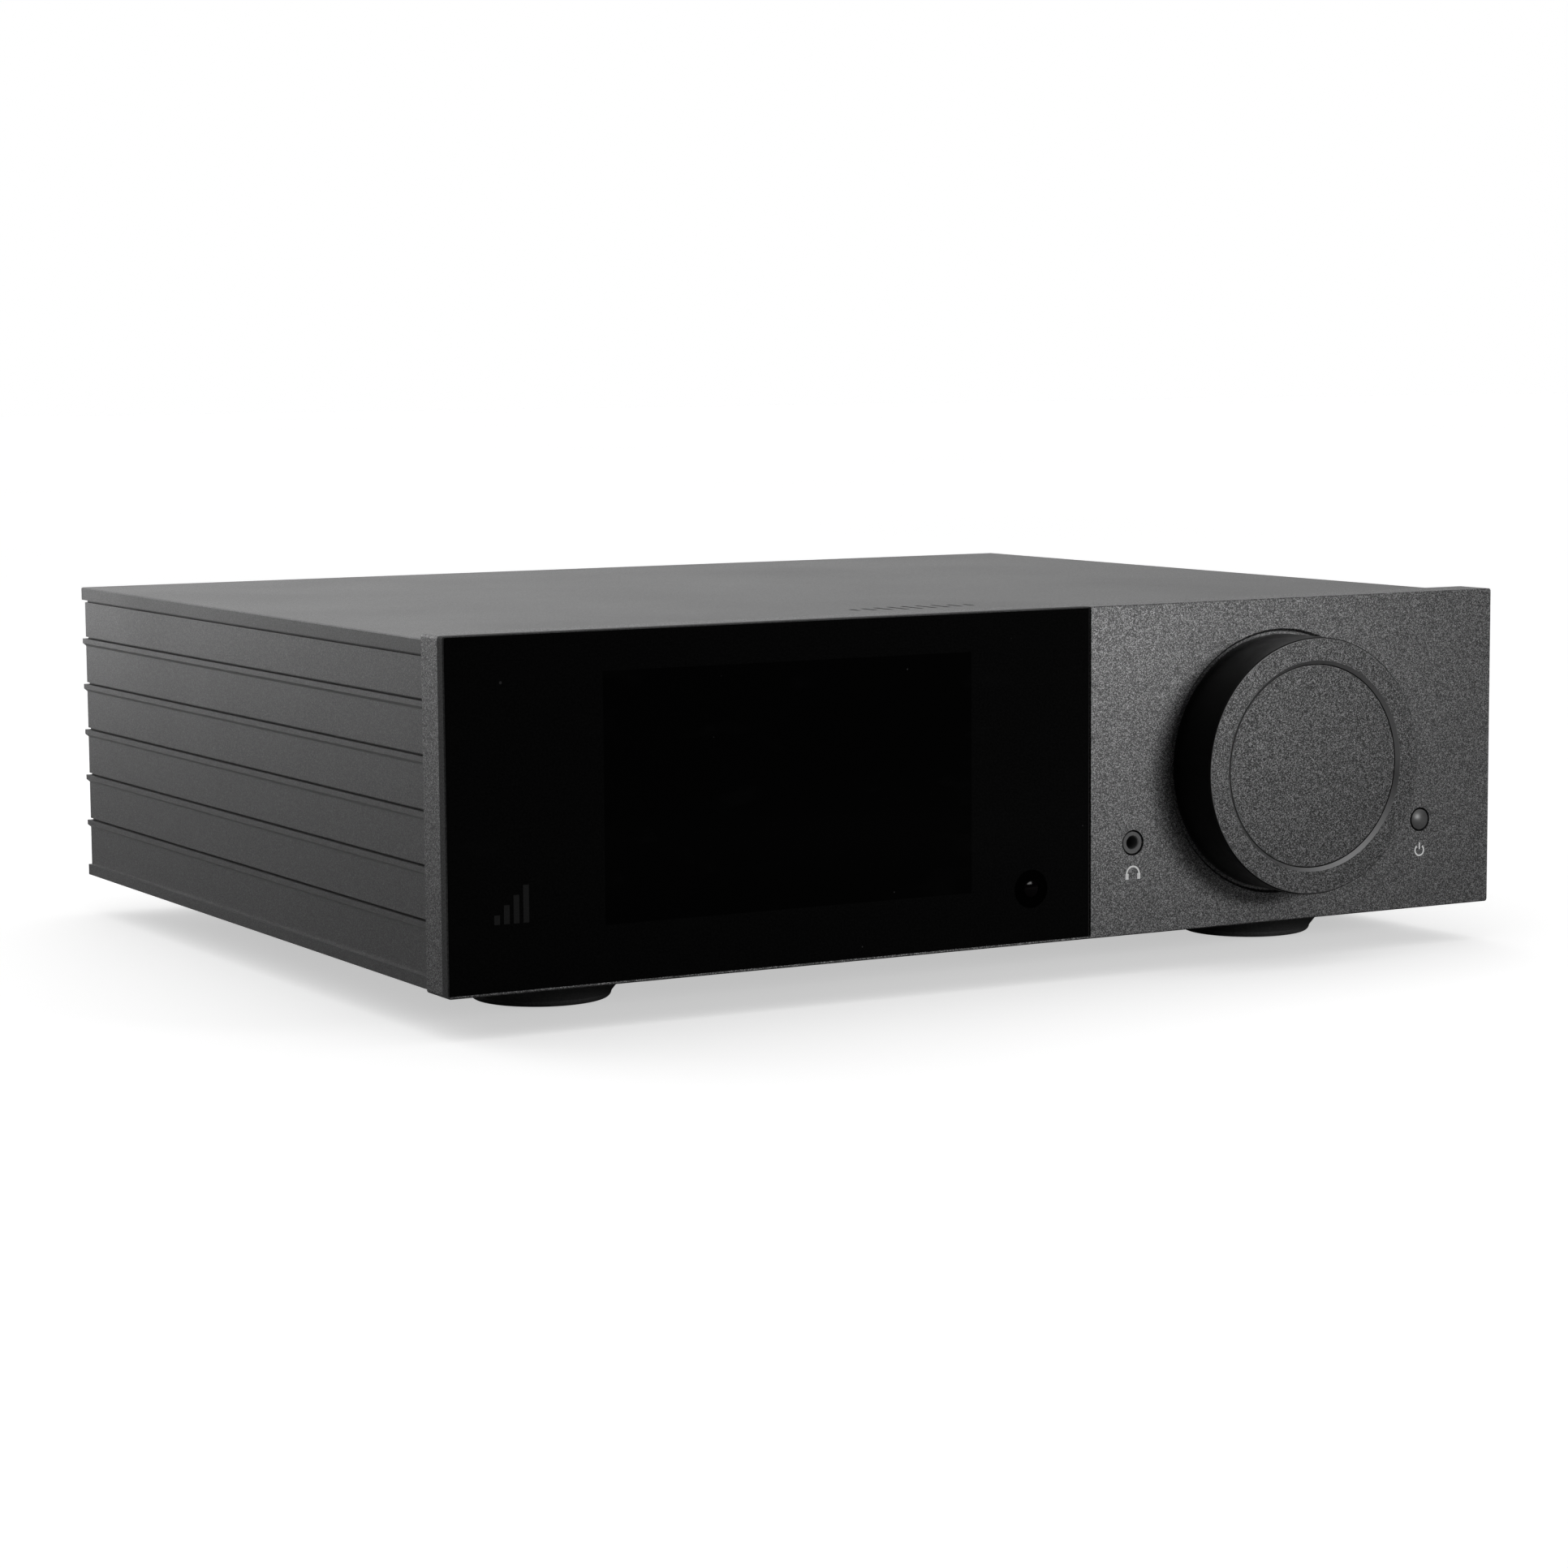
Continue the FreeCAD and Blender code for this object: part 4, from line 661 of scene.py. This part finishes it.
def rear_frames():
    """Printed frames that group the sockets: speaker posts, analogue and digital."""
    groups = (("terminal_plates", 5.0 * MM), ("rca_shells", 4.5 * MM))
    corner, stroke = 3.0 * MM, 0.3 * MM

    def build(bm):
        for name, margin in groups:
            low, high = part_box(name)
            center = middle(name)
            outline_frame(bm, center.x, center.z + 1.5 * MM, (high.x - low.x) / 2 + margin,
                          (high.z - low.z) / 2 + margin + 1.5 * MM, corner, stroke)
        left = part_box("optical_socket")[0].x
        low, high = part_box("network_socket")
        outline_frame(bm, (left + high.x) / 2, (low.z + high.z) / 2, (high.x - left) / 2 + 3.0 * MM,
                      (high.z - low.z) / 2 + 2.5 * MM, corner, stroke)
    piece("rear_frames", mesh_from("rear_frames", build), GREY_INK, "case")


def switch_marks():
    """Off ring beside the end of the mains rocker that is pressed in at rest, on bar at the other."""
    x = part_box("switch_housing")[1].x + 3.6 * MM
    z = middle("switch_housing").z
    rocker_end = 6.0 * MM              # height of each mark above or below the rocker's middle

    def build(bm):
        bar = rectangle(-0.25 * MM, 0.25 * MM, -1.6 * MM, 1.6 * MM)
        add_prism(bm, bar, on_rear(x, z - rocker_end), INK)
        add_band(bm, circle(1.7 * MM), circle(1.2 * MM), on_rear(x, z + rocker_end), INK)
    piece("switch_marks", mesh_from("switch_marks", build), WHITE_INK, "case")


def network_contacts():
    """Eight gold contact wires across the roof of the network socket, and its two status windows."""
    low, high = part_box("network_socket")
    x, z = (low.x + high.x) / 2, high.z
    pitch, wire = 1.02 * MM, 0.22 * MM

    def wires(bm):
        for i in range(8):
            left = x + (i - 3.5) * pitch - wire
            slope = [(-1.0 * MM, -2.4 * MM), (-7.5 * MM, -4.6 * MM), (-7.5 * MM, -4.25 * MM),
                     (-1.0 * MM, -2.05 * MM)]
            add_prism(bm, slope, lambda u, v, w, left=left: (left + w, REAR_Y + u, z + v), 2 * wire)

    def windows(bm):
        for side in (-1, 1):
            spot = on_rear(x + side * 6.4 * MM, low.z + 1.6 * MM, lift=0.8 * MM)
            add_prism(bm, rectangle(-1.2 * MM, 1.2 * MM, -0.7 * MM, 0.7 * MM), spot, 0.1 * MM)
    piece("network_contacts", mesh_from("network_contacts", wires), GOLD, "case")
    piece("network_windows", mesh_from("network_windows", windows), AMBER, "case")


def tongue_contacts():
    """Gold strips on the tongues of the USB and HDMI sockets."""
    hdmi = middle("hdmi_socket")
    usb_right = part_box("usb_sockets")[1].x
    row = middle("optical_socket").z
    sunk, length, thick = 8.0 * MM, 7.3 * MM, INK * 2

    def build(bm):
        for i in range(10):
            spot = on_rear(hdmi.x + (i - 4.5) * 1.0 * MM, row + 0.8 * MM, lift=-sunk)
            add_prism(bm, rectangle(-0.2 * MM, 0.2 * MM, 0.0, thick), spot, length)
        for i in range(4):
            x = usb_right - 6.6 * MM + (i - 1.5) * 2.4 * MM
            spot = on_rear(x, row - 0.9 * MM, lift=-sunk)
            add_prism(bm, rectangle(-0.5 * MM, 0.5 * MM, -thick, 0.0), spot, length)
    piece("tongue_contacts", mesh_from("tongue_contacts", build), GOLD, "case")


def rating_plate():
    """Label without words on the underside: a border, a bar pattern and blank lines."""
    base = middle("base_plate")
    x, y = base.x, base.y + 62.0 * MM
    half_width, half_height, thick, inset = 36.0 * MM, 15.0 * MM, 0.12 * MM, 1.5 * MM
    left_edge, line_gap = -30.0 * MM, 2.6 * MM

    def plate(bm):
        add_prism(bm, rectangle(-half_width, half_width, -half_height, half_height),
                  under_base(x, y), thick)

    def print_on(bm):
        on_plate = under_base(x, y, lift=thick)
        across, up = half_width - inset, half_height - inset
        outer = rectangle(-across, across, -up, up)
        inner = [(u * 0.985, v * 0.965) for u, v in outer]
        add_band(bm, outer, inner, on_plate, INK)
        for i in range(26):
            width = (0.35 + 0.3 * ((i * 7) % 4)) * MM
            left = left_edge + i * 1.35 * MM
            add_prism(bm, rectangle(left, left + width * 0.6, -10.0 * MM, -2.0 * MM), on_plate, INK)
        for i in range(4):
            high = 9.5 * MM - i * line_gap
            end = (18.0 - 7.0 * (i % 2)) * MM
            add_prism(bm, rectangle(left_edge, end, high - 0.7 * MM, high), on_plate, INK)
    piece("rating_plate", mesh_from("rating_plate", plate), LABEL, "case")
    piece("rating_print", mesh_from("rating_print", print_on), BLACK_INK, "case")


finish_frame()
headphone_mark()
standby_mark()
level_mark()
ir_window()
polarity_marks()
rear_frames()
switch_marks()
network_contacts()
tongue_contacts()
rating_plate()


# ---------------------------------------------------------------- floor, light and camera
FLOOR_LIFT = 0.52                      # light the floor adds to itself for the camera
FLOOR_GREY = (0.28, 0.28, 0.28)        # its colour for the light it throws back on the object


def floor():
    """Pale floor. To the camera it is lifted to the surround's white, with the soft shadow kept."""
    mat = material("floor_finish", (0.6, 0.6, 0.6), 0.8, specular=0.0)
    cloud = remap(mat, noise(mat, 0.6, detail=2.0), 0.3, 0.7, 0.0, 1.0)
    seen = node(mat, "LightPath").outputs["Is Camera Ray"]
    shade = blend_colors(mat, cloud, (0.78, 0.78, 0.78), (0.8, 0.8, 0.8))
    paint(mat, "Base Color", blend_colors(mat, seen, FLOOR_GREY, shade))
    mat.node_tree.nodes["Principled BSDF"].inputs["Emission Color"].default_value = (1, 1, 1, 1)
    paint(mat, "Emission Strength", math_node(mat, "MULTIPLY", seen, FLOOR_LIFT))

    def build(bm):
        add_prism(bm, rectangle(-9.0, 9.0, -9.0, 9.0), lambda u, v, w: (u, v, w - 0.02), 0.02)
    obj = add_object("floor", mesh_from("floor", build))
    obj.data.materials.append(mat)


def area_light(name, place_at, aim_at, width, height, power):
    data = bpy.data.lights.new(name, "AREA")
    data.shape = "RECTANGLE"
    data.size = width
    data.size_y = height
    data.energy = power
    lamp = add_object(name, data)
    lamp.location = place_at
    lamp.rotation_euler = (Vector(aim_at) - Vector(place_at)).to_track_quat("-Z", "Y").to_euler()
    lamp.visible_camera = False


def studio_lights():
    """Two small soft lamps in front, right of the middle, and two behind the left side."""
    front_aim = (0.08, FACE_Y, 0.06)
    side_aim = (PANEL_LOW.x, 0.03, 0.06)
    area_light("front", (0.25, -0.6, 0.165), front_aim, 0.14, 0.14, 0.315)
    area_light("front_low", (0.17, -0.5, 0.115), front_aim, 0.14, 0.05, 0.39)
    area_light("back_left_high", (-0.62, 0.72, 0.42), side_aim, 0.6, 0.5, 1.04)
    area_light("back_left_low", (-0.35, 0.75, 0.15), side_aim, 0.3, 0.25, 0.48)


def glow(world, direction, axis, power, strength):
    """Light from the sky around one axis, weaker away from it."""
    along = node(world, "VectorMath", operation="DOT_PRODUCT")
    along.inputs[1].default_value = Vector(axis).normalized()
    link(world, direction, along.inputs[0])
    facing = math_node(world, "MAXIMUM", along.outputs["Value"])
    return math_node(world, "MULTIPLY", math_node(world, "POWER", facing, power), strength)


def sky():
    """Soft surround, bright overhead and behind; plain white where the camera sees it."""
    world = bpy.data.worlds.new("surround")
    bpy.context.scene.world = world
    world.use_nodes = True
    world.node_tree.nodes.clear()
    direction = node(world, "TexCoord").outputs["Generated"]
    overhead = glow(world, direction, (0.0, 0.0, 1.0), 2.0, 1.2)
    behind = glow(world, direction, (0.0, 1.0, 0.15), 3.0, 1.43)
    lit = node(world, "Background")
    link(world, math_node(world, "ADD", overhead, behind), lit.inputs["Strength"])
    seen = node(world, "Background")
    seen.inputs["Color"].default_value = (1.0, 1.0, 1.0, 1.0)
    mix = node(world, "MixShader")
    link(world, node(world, "LightPath").outputs["Is Camera Ray"], mix.inputs["Fac"])
    link(world, lit.outputs["Background"], mix.inputs[1])
    link(world, seen.outputs["Background"], mix.inputs[2])
    output = node(world, "OutputWorld")
    link(world, mix.outputs["Shader"], output.inputs["Surface"])


def camera():
    """Stands in front and to the left, a little above the lid."""
    yaw, pitch, roll = math.radians(29.24), math.radians(6.42), math.radians(-0.40)
    distance, aim_x, aim_z = 1.013, -68.7 * MM, 48.4 * MM
    data = bpy.data.cameras.new("camera")
    data.lens = 89.5
    data.sensor_width = 36.0
    data.clip_start = 0.05
    cam = add_object("camera", data)
    level = math.cos(pitch)
    forward = Vector((math.sin(yaw) * level, math.cos(yaw) * level, -math.sin(pitch)))
    target = Vector((aim_x, FACE_Y, PANEL_LOW.z + aim_z))
    turn = Euler((math.pi / 2 - pitch, 0.0, -yaw), "XYZ").to_matrix() @ Matrix.Rotation(roll, 3, "Z")
    cam.matrix_world = Matrix.Translation(target - forward * distance) @ turn.to_4x4()
    bpy.context.scene.camera = cam


floor()
studio_lights()
sky()
camera()
bpy.context.scene.view_settings.view_transform = "Standard"
